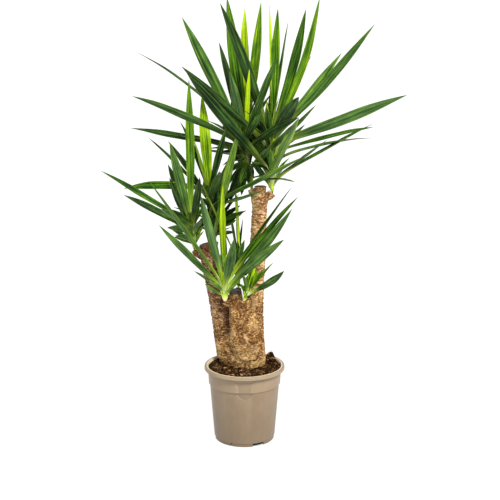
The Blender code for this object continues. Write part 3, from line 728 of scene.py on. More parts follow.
# The scars of old leaves: how far out they lie, how they lean and wander, and their thickness
SCAR_OUT = 0.9 * MM
SCAR_STEPS = 12
SCAR_LEAN = 0.35
SCAR_WANDER = 0.8 * MM
SCAR_THICKNESS = 1.8 * MM
SHOOT_FLARE = 1.2
SHOOT_RIM = 1.35

# The base over the plug: height in millimetres, width and depth as shares of the plug's, and the shift to the
# right in millimetres
BASE = ((200, 1.0, 1.0, 0), (225, 1.0, 1.0, 0), (240, 1.09, 1.03, -4), (268, 1.12, 1.03, -7),
        (300, 1.12, 0.96, -9), (340, 1.1, 0.86, -14), (380, 0.86, 0.62, -18))

# Pale scars and dry strips on the front of the bark: place and half sizes in millimetres, lean in degrees,
# and strength
MARKS = ((3, 322, 5, 14, -20, 0.75), (-14, 372, 3, 12, -35, 0.3), (-98, 535, 7, 18, 15, 0.6),
         (-70, 372, 6, 13, 10, 0.5), (30, 420, 7, 16, -5, 0.5), (33, 282, 8, 12, 20, 0.35),
         (-20, 262, 8, 9, 0, 0.4), (-34, 330, 6, 9, 30, 0.4), (48, 560, 6, 20, 0, 0.5))

# The side shoots: two points of the woody limb that carries each, its foot and its top, and its radius
Shoot = namedtuple("Shoot", "limb seat heart radius")
SHOOTS = {
    "crown_top_right": Shoot(
        (mm(47, 30, 732), mm(68, 30, 734)), mm(81, 30, 746), mm(75, 28, 905), 10 * MM),
    "crown_top_left": Shoot(
        (mm(44, 34, 728), mm(30, 46, 736)), mm(22, 54, 752), mm(2, 52, 890), 10 * MM),
    "crown_left": Shoot(
        (mm(-110, 30, 552), mm(-132, 26, 558)), mm(-146, 24, 576), mm(-152, 18, 640), 8.5 * MM),
    "crown_left_back": Shoot(
        (mm(-108, 38, 562), mm(-93, 50, 572)), mm(-88, 58, 594), mm(-104, 57, 725), 9 * MM),
    "crown_front_left": Shoot(
        (mm(-22, -12, 422), mm(-42, -21, 423)), mm(-56, -29, 435), mm(-60, -38, 505), 8.5 * MM),
    "crown_front_right": Shoot(
        (mm(-20, -14, 426), mm(-7, -26, 428)), mm(-2, -33, 437), mm(13, -43, 470), 6.5 * MM),
    "crown_front_back": Shoot(
        (mm(-26, -4, 434), mm(-21, 13, 444)), mm(-18, 21, 462), mm(-16, 24, 530), 7 * MM),
}


def resampled(path, values, pitch):
    """Rows of (x, y, z, value) every pitch along a polyline, with its corners rounded off."""
    stops = np.concatenate([[0], np.cumsum([(b - a).length for a, b in zip(path, path[1:])])])
    at = np.linspace(0, stops[-1], max(3, round(stops[-1] / pitch)) + 1)
    rows = np.array([[*point, value] for point, value in zip(path, values)])
    rows = np.stack([np.interp(at, stops, column) for column in rows.T], axis=1)
    for _ in range(8):
        rows[1:-1] = (rows[:-2] + 2 * rows[1:-1] + rows[2:]) / 4
    return rows


def square_to(ahead):
    """Two directions square to a line and to each other: sideways and towards the front."""
    side = ahead.cross(Vector((0, 1, 0))).normalized()
    return side, side.cross(ahead)


def tube_rings(rows, sides, rough):
    """Rings square to the rows' line, pushed in and out by the bark's lumps."""
    rings = []
    for i, row in enumerate(rows):
        ahead = Vector(rows[min(i + 1, len(rows) - 1)][:3] - rows[max(i - 1, 0)][:3]).normalized()
        side, front = square_to(ahead)
        ring = []
        for c, s in circle(sides):
            out = side * c + front * s
            point = Vector(row[:3]) + out * row[3]
            ring.append(point + out * rough * noise.noise(point * BARK_GRAIN))
        rings.append(ring)
    return rings


def base_ring(height, wide, deep, shift):
    ring = []
    for c, s in circle(BASE_SIDES):
        out = Vector((c * PLUG_HALF_WIDTH * wide, s * PLUG_HALF_DEPTH * deep))
        out.rotate(Matrix.Rotation(PLUG_TURN, 2))
        point = Vector((PLUG_CENTRE.x + shift + out.x, PLUG_CENTRE.y + out.y, height))
        push = 2 * BARK_LUMP * noise.noise(point * BARK_GRAIN)
        ring.append(point + Vector((out.x, out.y, 0)).normalized() * push)
    return ring


def unit(values):
    return np.clip(values, 0, 1)


def noises(places, scale, seed):
    """Noise at many places, stretched by a scale for each axis."""
    return np.array([noise.noise(Vector(place)) for place in places * np.array(scale) + seed])


def averaged(values, edges, passes):
    """Values spread over a mesh's edges this many times."""
    count = np.bincount(edges.ravel(), minlength=len(values)).astype(float)
    count = count.reshape(-1, *[1] * (values.ndim - 1))
    for _ in range(passes):
        total = np.zeros_like(values)
        np.add.at(total, edges[:, 0], values[edges[:, 1]])
        np.add.at(total, edges[:, 1], values[edges[:, 0]])
        values = 0.5 * values + 0.5 * total / np.maximum(count, 1)
    return values


def nearest_on(stem, places):
    """How far each place is from a stem's skin, and how far along the stem it is."""
    rows = resampled(stem.path, stem.radii, FINE_PITCH)
    steps = np.linalg.norm(np.diff(rows[:, :3], axis=0), axis=1)
    along = np.concatenate([[0], np.cumsum(steps)])
    apart = np.linalg.norm(places[:, None, :] - rows[None, :, :3], axis=2) - rows[None, :, 3]
    best = apart.argmin(axis=1)
    return apart.min(axis=1), along[best], along[-1]


def array_of(items, what, width=3, kind=np.float32):
    values = np.empty(len(items) * width, kind)
    items.foreach_get(what, values)
    return values.reshape(-1, width) if width > 1 else values


def fused_wood():
    """The mesh of the base, the stems and the limbs, fused by a remesh."""
    bm = bmesh.new()
    skin(bm, [base_ring(height * MM, wide, deep, shift * MM) for height, wide, deep, shift in BASE])
    for stem in (*SCARRED_STEMS, BRIDGE):
        skin(bm, tube_rings(resampled(stem.path, stem.radii, STEM_PITCH), STEM_SIDES, BARK_LUMP))
    for shoot in SHOOTS.values():
        axis = (shoot.heart - shoot.seat).normalized()
        path = [*shoot.limb, shoot.seat - axis * 4 * MM, shoot.seat]
        radii = [shoot.radius * share for share in (SHOOT_FLARE, SHOOT_FLARE, SHOOT_RIM, SHOOT_FLARE)]
        skin(bm, tube_rings(resampled(path, radii, FINE_PITCH), LIMB_SIDES, LIMB_LUMP))
    raw = piece_from(bm, "trunk_raw")
    remesh = raw.modifiers.new("Remesh", "REMESH")
    remesh.mode = "VOXEL"
    remesh.voxel_size = BARK_VOXEL
    bpy.context.view_layer.update()
    mesh = bpy.data.meshes.new_from_object(raw.evaluated_get(bpy.context.evaluated_depsgraph_get()))
    bpy.data.objects.remove(raw)
    mesh.name = "trunk_bark"
    return mesh


def marked(places, normals, rough):
    """How far each place lies inside one of the marks on the front, with ragged edges."""
    scar = np.zeros(len(places))
    for across, up, half_width, half_height, lean, strength in MARKS:
        dx, dz = places[:, 0] - across * MM, places[:, 2] - up * MM
        turn = math.radians(lean)
        wide = (dx * math.cos(turn) - dz * math.sin(turn)) / (half_width * MM)
        tall = (dx * math.sin(turn) + dz * math.cos(turn)) / (half_height * MM)
        inside = unit(1.6 - 1.2 * np.hypot(wide, tall) + 0.9 * rough)
        scar = np.maximum(scar, inside * (normals[:, 1] < -0.15) * strength)
    return scar


def build_trunk():
    """The fused wood with its bark pushed out and in, and with the values that its looks read."""
    mesh = fused_wood()
    edges = array_of(mesh.edges, "vertices", 2, np.int32)
    places = averaged(array_of(mesh.vertices, "co").astype(float), edges, 2)
    normals = array_of(mesh.vertices, "normal").astype(float)
    hollow = ((averaged(places, edges, 30) - places) * normals).sum(axis=1)
    height = places[:, 2]
    base = unit((BASE_TOP - height) / BASE_BLEND)

    apart, along, full = map(np.array, zip(*[nearest_on(stem, places) for stem in SCARRED_STEMS]))
    owner = apart.argmin(axis=0)
    left, tall, short = (owner == i for i in range(3))
    along = along[owner, np.arange(len(places))]
    from_top = full[owner] - along
    skinned_over = unit(from_top / CUT_MARGIN)

    phase = along / np.array(RING_PITCHES)[owner]
    phase += 0.45 * noises(places, (26, 26, 10), 3.1) + 0.12 * noises(places, (120, 120, 60), 8.2)
    broken = unit(0.55 + 1.6 * noises(places, (75, 75, 130), 5.4))
    ridge = (0.5 + 0.5 * np.cos(math.tau * phase)) ** 3 * broken
    ridge *= np.array(RING_STRENGTHS)[owner] * (1 - 0.75 * base)
    coarse = noises(places, (70, 70, 38), 1.7)
    fine = noises(places, (190, 190, 150), 6.6)
    grain = noises(places, (420, 420, 420), 2.9)
    cracks = unit(1 - np.abs(noises(places, (60, 60, 22), 9.3)) * 9) * (0.35 + 0.65 * base)
    push = (RIDGE_PUSH * ridge + LUMP_PUSH * coarse + PIT_PUSH * fine + GRAIN_PUSH * grain
            - CRACK_PUSH * cracks)
    places += normals * (push * skinned_over)[:, None]
    mesh.vertices.foreach_set("co", places.astype(np.float32).ravel())

    # Painted shade in the wood's hollows, and dark pits where the fine lumps dip; both join the cracks.
    hollow_shade_and_pits = unit(hollow / PIT_DEPTH) * 0.9 + unit(-fine * 1.6 - 0.25) * 0.6
    flakes = np.where(tall, 0.25 + 0.75 * unit((height - FLAKED_FROM) / FLAKED_BLEND), 0.35)
    store(mesh, "ridge", ridge / 0.8)
    store(mesh, "crack", cracks * 0.7 + hollow_shade_and_pits)
    store(mesh, "scar", marked(places, normals, coarse + fine))
    store(mesh, "wax", short * (WAX_RUN - from_top + WAX_WANDER * coarse) / WAX_EDGE)
    store(mesh, "pink", tall * (height - PINK_FROM) / PINK_BLEND)
    store(mesh, "red", left * (height - RED_FROM) / RED_BLEND)
    store(mesh, "flake", flakes * skinned_over * (1 - base * 0.4))
    mesh.shade_smooth()
    return placed("trunk_bark", mesh)


def bark_look():
    """Corky bark: golden tan with dark pits and cracks and painted shade in its hollows, pinkish cream on the
    tall stem and reddish on the left one.
    """
    look = Finish("corky_bark", specular_ior_level=0.2)
    ridge, crack, pink, red, scar, wax = look.values("ridge", "crack", "pink", "red", "scar", "wax")
    blotch = look.noise(look.place, 24, 4, 0.6)
    flecks = look.noise(look.stretched(1, 1, 1.5), 150, 5, 0.72)
    chips = look.cells(look.stretched(1, 1, 1.4), 165)
    specks = look.noise(look.place, 560, 2, 0.6)
    low = look.split(look.place, "Z").clamped(330 * MM, 235 * MM)
    grain = (flecks - 0.5) * 2.6 + (chips - 0.45) * 0.6 + (blotch - 0.5) * 1.7 + 0.48 + low * 0.1
    tan = look.ramp(grain, (0.08, (0.055, 0.020, 0.006)), (0.34, (0.155, 0.066, 0.019)),
                    (0.55, (0.290, 0.140, 0.041)), (0.75, (0.510, 0.295, 0.102)),
                    (0.95, (0.740, 0.510, 0.240)))
    rosy = look.ramp(grain * 0.8 + ridge * 0.4, (0.1, (0.065, 0.021, 0.007)), (0.28, (0.270, 0.105, 0.032)),
                     (0.48, (0.600, 0.315, 0.115)), (0.75, (0.930, 0.670, 0.350)))
    rust = look.ramp(grain * 0.85 + ridge * 0.2, (0.1, (0.026, 0.009, 0.005)), (0.4, (0.105, 0.038, 0.017)),
                     (0.68, (0.280, 0.125, 0.055)), (0.95, (0.680, 0.480, 0.280)))
    gold = look.mixed(flecks.clamped(0.35, 0.6), (0.26, 0.13, 0.03), (0.98, 0.68, 0.25))
    golden = look.noise(look.place, 13, 2).clamped(0.46, 0.60) * low
    ashen = look.noise(look.vector("ADD", look.place, (3, 1, 2)), 17, 2).clamped(0.52, 0.64) * (1 - low)
    tone = look.layered(
        tan,
        (golden * 0.3, gold),
        (ashen * 0.15, (0.26, 0.19, 0.13)),
        (pink * 0.9, rosy),
        (red * 0.85, rust),
        # dark cracks and pits, with painted shade in the hollows
        (crack * 0.8, (0.020, 0.008, 0.004)),
        (scar * 0.85, look.mixed(flecks, (0.46, 0.26, 0.10), (0.95, 0.72, 0.40))),
        (specks.clamped(0.58, 0.68) * 0.45, (0.03, 0.012, 0.006)),
        (wax * 0.9, look.mixed(blotch, (0.020, 0.014, 0.010), (0.085, 0.062, 0.046))))
    look.set(base_color=tone, roughness=0.8 + specks * 0.15 - wax * 0.35)
    look.bumped(grain * 0.7 + specks * 0.3, 0.0016, 0.9)
    return look


def flake_tree():
    """Short curved scales of dry bark that lie across the stem."""
    tree = Shape("scales", Density=9000.0, Length=9 * MM, Seed=1)
    points = tree.scattered(tree.named("flake") > tree.random(0.1, 1.0, 2))
    scale = tree.rod((-0.5, -0.06, 0.06), (0, 0.12, -0.14), (0.5, -0.06, 0.06), 5, 0.085)
    size = tree.given("Length") * tree.random(0.35, 1.25, 3)
    turn = tree.add("FunctionNodeAlignRotationToVector", {"axis": "Y", "pivot_axis": "Z"},
                    {"Vector": points.also(1)})
    tilt = tree.turned((0.0, -0.3, 0.0), (0.0, 0.3, 0.0), 4)
    turn = tree.add("FunctionNodeRotateRotation", {"rotation_space": "LOCAL"}, {0: turn, 1: tilt})
    sizes = tree.joined(size, size * 0.8, size * tree.random(0.6, 1.5, 5))
    scales = tree.instanced(points, scale, turn, sizes, tint=tree.random(0.0, 1.0, 6))
    tree.finish(tree.add("GeometryNodeSetShadeSmooth", None, {"Geometry": scales, "Shade Smooth": False}))
    return tree


def ribbon_tree():
    """Ribbons swept along lines: a thin lens in section, which can be folded up into a channel."""
    tree = Shape("ribbons", Points=8, Thickness=1 * MM, Channel=0.0, Waviness=0.05)
    place = tree.add("GeometryNodeInputPosition")
    line = tree.stored(tree.given(), "spine", place, kind="FLOAT_VECTOR")
    line = tree.add("GeometryNodeMeshToCurve", None, {0: line})
    ring = tree.add("GeometryNodeCurvePrimitiveCircle", None,
                    {"Resolution": tree.given("Points"), "Radius": 1.0})
    ring = tree.stored(ring, "across", tree.split(place, "X"))
    ring = tree.stored(ring, "rise", tree.split(place, "Y"))
    ribbon = tree.swept(line, ring)
    across, rise, half, along, chance = map(tree.named, ("across", "rise", "half", "along", "chance"))
    spine, side, up = (tree.named(name, "FLOAT_VECTOR") for name in ("spine", "side", "up"))
    spread = abs(across)
    fold = tree.given("Channel") * (1 + 1.2 * (1 - along) ** 3)
    wave = tree.maths("SINE", along * 17 + chance * 40 + across * 1.3) * tree.given("Waviness") * spread
    lift = half * (fold * spread ** 1.35 + wave) + rise * tree.given("Thickness") * 0.5
    place = tree.vector("ADD", spine, tree.vector("SCALE", side, half * across))
    place = tree.vector("ADD", place, tree.vector("SCALE", up, lift))
    ribbon = tree.add("GeometryNodeSetPosition", None, {"Geometry": ribbon, "Position": place})
    tree.finish(tree.add("GeometryNodeSetShadeSmooth", None, {"Geometry": ribbon, "Shade Smooth": True}))
    return tree


def outward(piece):
    """Turns every face of a closed piece outwards."""
    bm = bmesh.new()
    bm.from_mesh(piece.data)
    bmesh.ops.recalc_face_normals(bm, faces=bm.faces)
    bm.to_mesh(piece.data)
    bm.free()


def ribbon_lines(name, rows_of_each, titles):
    """One mesh of open lines. A row is a place, sideways and upper directions, and a number per title."""
    rows = [row for each in rows_of_each for row in each]
    lines, start = [], 0
    for each in rows_of_each:
        lines += [(i, i + 1) for i in range(start, start + len(each) - 1)]
        start += len(each)
    mesh = bpy.data.meshes.new(name)
    mesh.from_pydata([row[0] for row in rows], lines, [])
    for column, title in enumerate(("side", "up"), 1):
        stored = mesh.attributes.new(title, "FLOAT_VECTOR", "POINT")
        stored.data.foreach_set("vector", [number for row in rows for number in row[column]])
    for column, title in enumerate(titles, 3):
        stored = mesh.attributes.new(title, "FLOAT", "POINT")
        stored.data.foreach_set("value", [row[column] for row in rows])
    return placed(name, mesh)


# The sealed disc on a sawn end: its radius as a share of the stem's, and its height in millimetres
SAWN_PROFILE = ((0.9, -2.5), (0.99, -1.2), (1.0, 0.3), (0.97, 1.0), (0.88, 1.25), (0.66, 1.1), (0.44, 1.2),
                (0.22, 1.0), (0.02, 1.1))
SAWN_SIDES = 48
SAWN_ROUGH = 0.5 * MM


def leaf_scars(name, stem, low, high, pitch, spans, half, tints, seed):
    """Broken crescents round a stem, where the feet of old leaves were."""
    draw = random.Random(seed)
    rows = resampled(stem.path, stem.radii, pitch)
    scars = []
    for i in range(1, len(rows) - 1):
        if not low < rows[i][2] < high:
            continue
        axis = Vector(rows[i + 1][:3] - rows[i - 1][:3]).normalized()
        side, front = square_to(axis)
        turn = draw.uniform(0, math.tau)
        end = turn + math.tau
        while turn < end:
            span = math.radians(draw.uniform(*spans))
            lift, bow = draw.uniform(-0.3, 0.3) * pitch, draw.uniform(0.1, 0.45) * pitch
            tall, tint = draw.uniform(0.6, 1.3) * half, draw.uniform(*tints)
            scar = []
            for step in range(SCAR_STEPS + 1):
                share = step / SCAR_STEPS
                out = side * math.cos(turn + span * share) + front * math.sin(turn + span * share)
                place = Vector(rows[i][:3]) + out * (rows[i][3] + SCAR_OUT)
                wander = SCAR_WANDER * noise.noise(place * 160)
                place += axis * (lift - bow * math.sin(math.pi * share) + wander)
                swell = max(0.05, math.sin(math.pi * share)) ** 0.5 * (1 + 0.5 * noise.noise(place * 240))
                up = (out + axis * SCAR_LEAN).normalized()
                scar.append((place, axis, up, tall * swell, share, tint, draw.random()))
            scars.append(scar)
            turn += span * draw.uniform(1.05, 1.5)
    return ribbon_lines(name, scars, ("half", "along", "tint", "chance"))


def scale_look():
    """Dry bark scales: cream to pinkish tan, darker on the left stem."""
    look = Finish("bark_scales", roughness=0.85, specular_ior_level=0.2)
    tint, pink, red = look.values("tint", "pink", "red")
    tan = look.ramp(tint, (0.0, (0.14, 0.060, 0.020)), (0.5, (0.40, 0.215, 0.075)), (1.0, (0.72, 0.48, 0.23)))
    rosy = look.ramp(tint, (0.0, (0.14, 0.050, 0.019)), (0.4, (0.50, 0.245, 0.098)),
                     (1.0, (0.92, 0.65, 0.35)))
    rust = look.ramp(tint, (0.0, (0.07, 0.026, 0.013)), (0.5, (0.24, 0.105, 0.050)),
                     (1.0, (0.78, 0.60, 0.38)))
    tone = look.mixed(red, look.mixed(pink, tan, rosy), rust)
    wear = look.noise(look.stretched(1, 1, 2), 330, 4, 0.7)
    look.set(base_color=look.mixed(wear.clamped(0.42, 0.62) * 0.4, tone, (0.085, 0.036, 0.016)))
    look.bumped(wear, 0.0008)
    return look


def sawn_top(name, stem):
    """A thin sealed disc on a stem's sawn end."""
    last = resampled(stem.path, stem.radii, STEM_PITCH)[-2:]
    ahead = Vector(last[1][:3] - last[0][:3]).normalized()
    side, front = square_to(ahead)
    rings = []
    for share, lift in SAWN_PROFILE:
        ring = []
        for c, s in circle(SAWN_SIDES):
            out = side * c + front * s
            reach = share * last[1][3] * (1 + 0.05 * noise.noise(out * 2.1 + stem.path[-1] * 90))
            point = Vector(last[1][:3]) + out * reach
            ring.append(point + ahead * (lift * MM + SAWN_ROUGH * noise.noise(point * 150)))
        rings.append(ring)
    return skinned(name, rings, 50)


def sawn_look(name, stem, dark, pale, roughness, rings):
    """Growth rings round the pith, or smooth wax, over mottled wood."""
    look = Finish(name, specular_ior_level=0.4)
    from_pith = look.vector("SUBTRACT", look.place, tuple(stem.path[-1]))
    away = look.vector("LENGTH", look.vector("MULTIPLY", from_pith, (1, 1, 0.2)))
    mottle = look.noise(look.place, 180, 4, 0.6)
    year = look.maths("SINE", away * 2600 + mottle * 9) * 0.5 + 0.5
    tone = look.mixed(mottle * (1 - rings) + year * rings, dark, pale)
    look.set(base_color=tone, roughness=roughness + mottle * 0.2)
    look.bumped(mottle * 0.6 + year * 0.4, 0.0006, 0.7)
    return look


bark = build_trunk()
dry_bark = scale_look()
scales = flake_tree().applied(copy_of(bark), "bark_scales", dry_bark, Density=12000.0, Seed=4)
fitted(scales, dry_bark, "bark")
fitted(bark, bark_look(), "bark", "trunk")
ribbons = ribbon_tree()
# Each run of leaf scars: from and to which height, how far apart, their spans in degrees, half height, tints,
# seed and how pink or red they are
SCARRED = (
    ("leaf_scars_tall", TALL_STEM, 0.45, 0.735, 10.5 * MM, (40, 110), 3.3 * MM, (0.2, 1.0), 51,
     {"pink": 1.0}),
    ("leaf_scars_left", LEFT_STEM, 0.31, 0.565, 8 * MM, (12, 50), 1.0 * MM, (0.1, 1.0), 52, {"red": 1.0}),
    ("leaf_scars_low", TALL_STEM, 0.33, 0.47, 13 * MM, (25, 60), 1.4 * MM, (0.2, 0.8), 53, {}),
)
for title, *sizes, kinds in SCARRED:
    scars = leaf_scars(title + "_lines", *sizes)
    scars = ribbons.applied(scars, title, dry_bark, Thickness=SCAR_THICKNESS, Waviness=0.25)
    for kind, share in kinds.items():
        store(scars.data, kind, np.full(len(scars.data.vertices), share))
    outward(scars)
    fitted(scars, dry_bark, "bark")
# Each sawn top: its dark and pale tones, roughness, and how clear its growth rings are
SAWN = (
    ("sawn_top_left", LEFT_STEM, (0.035, 0.014, 0.009), (0.16, 0.075, 0.045), 0.7, 0.3),
    ("sawn_top_tall", TALL_STEM, (0.30, 0.150, 0.080), (0.68, 0.42, 0.240), 0.75, 0.5),
    ("sawn_top_short", SHORT_STEM, (0.030, 0.024, 0.020), (0.14, 0.115, 0.095), 0.4, 0.2),
)
for title, stem, *tones in SAWN:
    fitted(sawn_top(title, stem), sawn_look(title + "_wood", stem, *tones), "bark")


# Crowns: each side shoot is a short green stem, pale at its foot, with stiff sword-shaped leaves that clasp
# it in a spiral. Young ones are lime green and upright, old ones dark and hanging, with a thin pale margin.
BLADE_STATIONS = 22
BLADE_POINTS = 14
BLADE_THICKNESS = 1.0 * MM
BLADE_CHANNEL = 0.38
BLADE_BASE_SHARE = 0.42
BLADE_WIDEST_AT = 0.58
BLADE_LEAST_WIDTH = 10 * MM
BLADE_WIDTH_PER_LENGTH = 0.044
BLADE_CLASP = 0.22
BLADE_CLASP_SHARE = 0.07
BLADE_LEAST_SHARE = 0.012
MOST_TWIST = 16
MOST_SWAY = 0.008
UPRIGHT_START = 0.5
CLASPING_WIDTH = 1.35
LOWEST_ROOT = 0.4
ROOT_CROWDING = 0.7
ROOT_REACH = 0.6
TOWARDS_VIEWER = Vector((0, -1, 0.25))
LEAST_LEAN = 0.12
BACK_SECTOR = 0.2
FRONT_SECTOR = 0.12
GOLDEN_ANGLE = math.pi * (3 - math.sqrt(5))

# Each leading leaf: its tone from dark to lime, where its tip is (across, back and up in millimetres), how
# far it is turned from edge-on to broadside to the viewer in degrees, its arch as a share of its length, its
# width factor, its root's share of the way up the stem, and its grey bloom, which is partly a painted sheen
Leaf = namedtuple("Leaf", "tone across back up broadside arch width root bloom",
                  defaults=(0.01, 1.0, None, 0.0))


def leaf_rows(*rows):
    return [Leaf(*row) for row in rows]


LEAVES = {
    "crown_top_right": leaf_rows(
        (0.42, 95, 30, 1277, 80, 0.0), (0.85, 70, 20, 1286, 20, 0.0),
        (0.22, -67, -16, 1294, 75, 0.018, 1.15), (0.16, -171, -116, 1130, 85, 0.005, 1.0, None, 0.25),
        (0.5, 124, 30, 1238, 15, 0.0, 1.0, None, 0.5), (0.35, 174, 30, 1275, 65, -0.02, 1.1),
        (0.55, 212, 10, 1311, 65, -0.04, 0.85), (0.2, 201, 260, 1121, 40, 0.02),
        (0.35, 364, -20, 1236, 70, -0.01, 0.9, None, 0.35), (0.45, 290, 215, 1134, 60, 0.0, 1.1, None, 0.2),
        (0.3, 457, -40, 1041, 65, 0.01, 1.25, None, 0.55), (0.3, 389, 275, 868, 20, 0.05, 1.0, None, 0.5),
        (0.25, 390, 260, 913, 20, 0.02, 1.0, 0.1), (0.3, 346, -225, 979, 25, 0.02),
        (0.35, 256, 305, 857, 20, 0.01, 1.0, 0.1, 0.6), (0.6, 145, -290, 1013, 60, 0.03, 1.0, 0.15, 0.5),
        (0.3, 190, 350, 900, 40), (0.3, 222, 340, 961, 30),
        (0.25, 146, -240, 1062, 75, 0.04, 1.5, None, 0.8), (0.3, 76, 20, 1056, 40, 0.0),
        (0.4, 147, 30, 779, 25, 0.03), (0.3, 20, -80, 860, 30, 0.03),
        (0.14, -152, -200, 1120, 75, 0.0, 1.05, 0.3, 0.3)),
    "crown_top_left": leaf_rows(
        (0.5, 48, 50, 1293, 60, -0.01, 1.15), (0.9, 2, 70, 1275, 60, 0.0, 1.2),
        (0.38, -49, 60, 1306, 88, 0.0, 1.25), (0.4, -175, 20, 1253, 75, 0.0, 1.15),
        (0.15, -127, 290, 1105, 40), (0.25, -304, 60, 1149, 15, 0.06, 1.0, None, 0.4),
        (0.3, -308, -110, 1047, 50, 0.035, 1.0, None, 0.45),
        (0.2, -344, 215, 908, 50, 0.015, 1.1, None, 0.4), (0.2, -76, 220, 1166, 70, 0.0),
        (0.4, -52, 360, 1061, 45, 0.0, 1.0, None, 0.5), (0.35, 95, -60, 1155, 65, 0.01, 1.0, None, 0.4),
        (0.35, -72, 365, 904, 60, 0.01, 1.0, None, 0.7), (0.2, 149, -170, 997, 70, 0.03, 1.1),
        (0.3, -10, -120, 806, 30, 0.04), (0.3, -125, 350, 818, 30), (0.3, 38, -225, 1052, 30),
        (0.1, -44, 72, 710, 70, 0.02, 1.7, 0.6), (0.2, -1, 20, 763, 55, 0.0, 1.0, 0.7, 0.5),
        (0.3, 14, 20, 766, 50, 0.0, 1.0, 0.6, 0.8)),
    "crown_left": leaf_rows(
        (0.4, -207, -100, 917, 80, 0.0, 1.2, None, 0.5), (0.3, -237, 265, 788, 55, 0.01, 1.2),
        (0.2, -121, -175, 833, 75, 0.0, 1.0, None, 0.3), (0.25, -408, -40, 825, 50, 0.02, 0.85),
        (0.35, -233, -160, 740, 60, 0.04, 1.2), (0.2, -246, 220, 646, 55, 0.03, 1.3),
        (0.25, -212, -140, 736, 60, 0.05, 1.2), (0.3, -218, -100, 673, 65, 0.05, 1.3),
        (0.35, -198, -65, 641, 65, 0.05, 1.2), (0.5, -120, -5, 667, 40),
        (0.5, -158, 40, 1077, 75, 0.0, 0.95), (0.25, -355, 60, 734, 65, 0.03, 1.1, None, 0.3)),
    "crown_left_back": leaf_rows(
        (0.6, -14, -60, 948, 65, 0.0, 1.0, 0.15, 0.3), (0.8, -144, 10, 906, 35, 0.0),
        (0.66, -123, 75, 1026, 80, 0.0, 1.4), (0.2, -50, -100, 958, 60), (0.3, -2, 300, 876, 30),
        (0.15, 26, 250, 841, 30, -0.02), (0.4, 162, -155, 886, 30, 0.0), (0.3, 57, -200, 802, 20, 0.0),
        (0.2, -2, 315, 629, 60, 0.0, 1.1, 0.3), (0.2, -27, 260, 613, 60, 0.0, 1.1, 0.2),
        (0.35, -364, 160, 733, 70, 0.05, 1.25, 1.1), (0.2, -289, 200, 880, 25, 0.03),
        (0.15, -190, 130, 940, 50, 0.06), (0.25, -231, 200, 871, 50, 0.01, 1.0, None, 0.3),
        (0.3, -63, -60, 808, 40)),
    "crown_front_left": leaf_rows(
        (0.45, -259, -198, 827, 35, 0.0, 0.8), (0.35, -234, -200, 704, 60, 0.0, 0.95),
        (0.4, -122, -120, 772, 80, 0.0, 1.1, None, 0.8), (0.85, -61, -30, 788, 55, 0.0),
        (0.4, -76, -10, 763, 35), (0.4, -27, -230, 672, 80, -0.01, 1.2, None, 0.6),
        (0.2, 135, -10, 769, 20), (0.28, 154, -30, 747, 45, 0.02),
        (0.3, 135, -100, 727, 80, -0.015, 1.1, None, 0.4), (0.38, 110, -205, 664, 70, 0.02, 1.2, None, 0.5),
        (0.4, -141, -145, 558, 40, 0.0, 1.0, 0.45), (0.5, -112, -115, 511, 50, -0.03, 1.0, 0.2),
        (0.5, -99, -155, 535, 50, 0.0, 1.0, 0.3), (0.5, -12, -95, 515, 50, 0.04)),
    "crown_front_right": leaf_rows(
        (0.2, 113, -125, 553, 60, -0.05, 1.4, 0.6, 0.3), (0.6, 37, -50, 536, 60),
        (0.55, 16, -38, 577, 60, 0.0), (0.45, -4, -90, 534, 60), (0.5, 83, -65, 561, 25),
        (0.5, 60, -52, 542, 30, 0.04)),
    "crown_front_back": leaf_rows(
        (0.75, -31, 100, 777, 25, 0.0), (0.4, -5, 140, 643, 25, 0.0),
        (0.4, -51, 200, 673, 20, 0.0, 1.0, None, 0.5), (0.4, -26, 150, 631, 30),
        (0.75, -122, -11, 780, 20, 0.0, 0.6), (0.5, -38, 140, 521, 40, 0.05), (0.5, 7, 150, 528, 40, 0.05)),
}

# Three groups of leaves that a rule lays out: those between the leading ones, the short ones that clasp the
# stem from its foot up, and the young ones round its tip. Each has how many they are, their lengths in
# millimetres, their rises in degrees and the draw's seed.
Fill = namedtuple("Fill", "count least most low high seed")
FILLS = {
    "crown_top_right": (
        Fill(5, 240, 330, -10, 28, 1), Fill(14, 80, 160, 35, 75, 41), Fill(8, 90, 180, 30, 82, 31)),
    "crown_top_left": (
        Fill(5, 240, 320, -12, 28, 4), Fill(16, 80, 160, 0, 65, 42), Fill(8, 90, 180, 30, 82, 32)),
    "crown_left": (
        Fill(4, 150, 220, 0, 30, 1), Fill(8, 40, 85, 35, 70, 43), Fill(6, 60, 120, 25, 75, 33)),
    "crown_left_back": (
        Fill(4, 200, 280, 0, 30, 4), Fill(14, 70, 140, 20, 72, 44), Fill(5, 50, 100, 30, 80, 34)),
    "crown_front_left": (
        Fill(1, 110, 170, 15, 50, 2), Fill(9, 50, 90, 60, 80, 45), Fill(5, 60, 120, 45, 80, 35)),
    "crown_front_right": (
        Fill(2, 60, 90, 10, 40, 22), Fill(5, 26, 44, 55, 75, 46), Fill(4, 35, 60, 30, 75, 36)),
    "crown_front_back": (
        Fill(3, 120, 180, 0, 35, 78), Fill(5, 50, 80, 60, 80, 47), Fill(4, 50, 100, 45, 80, 37)),
}
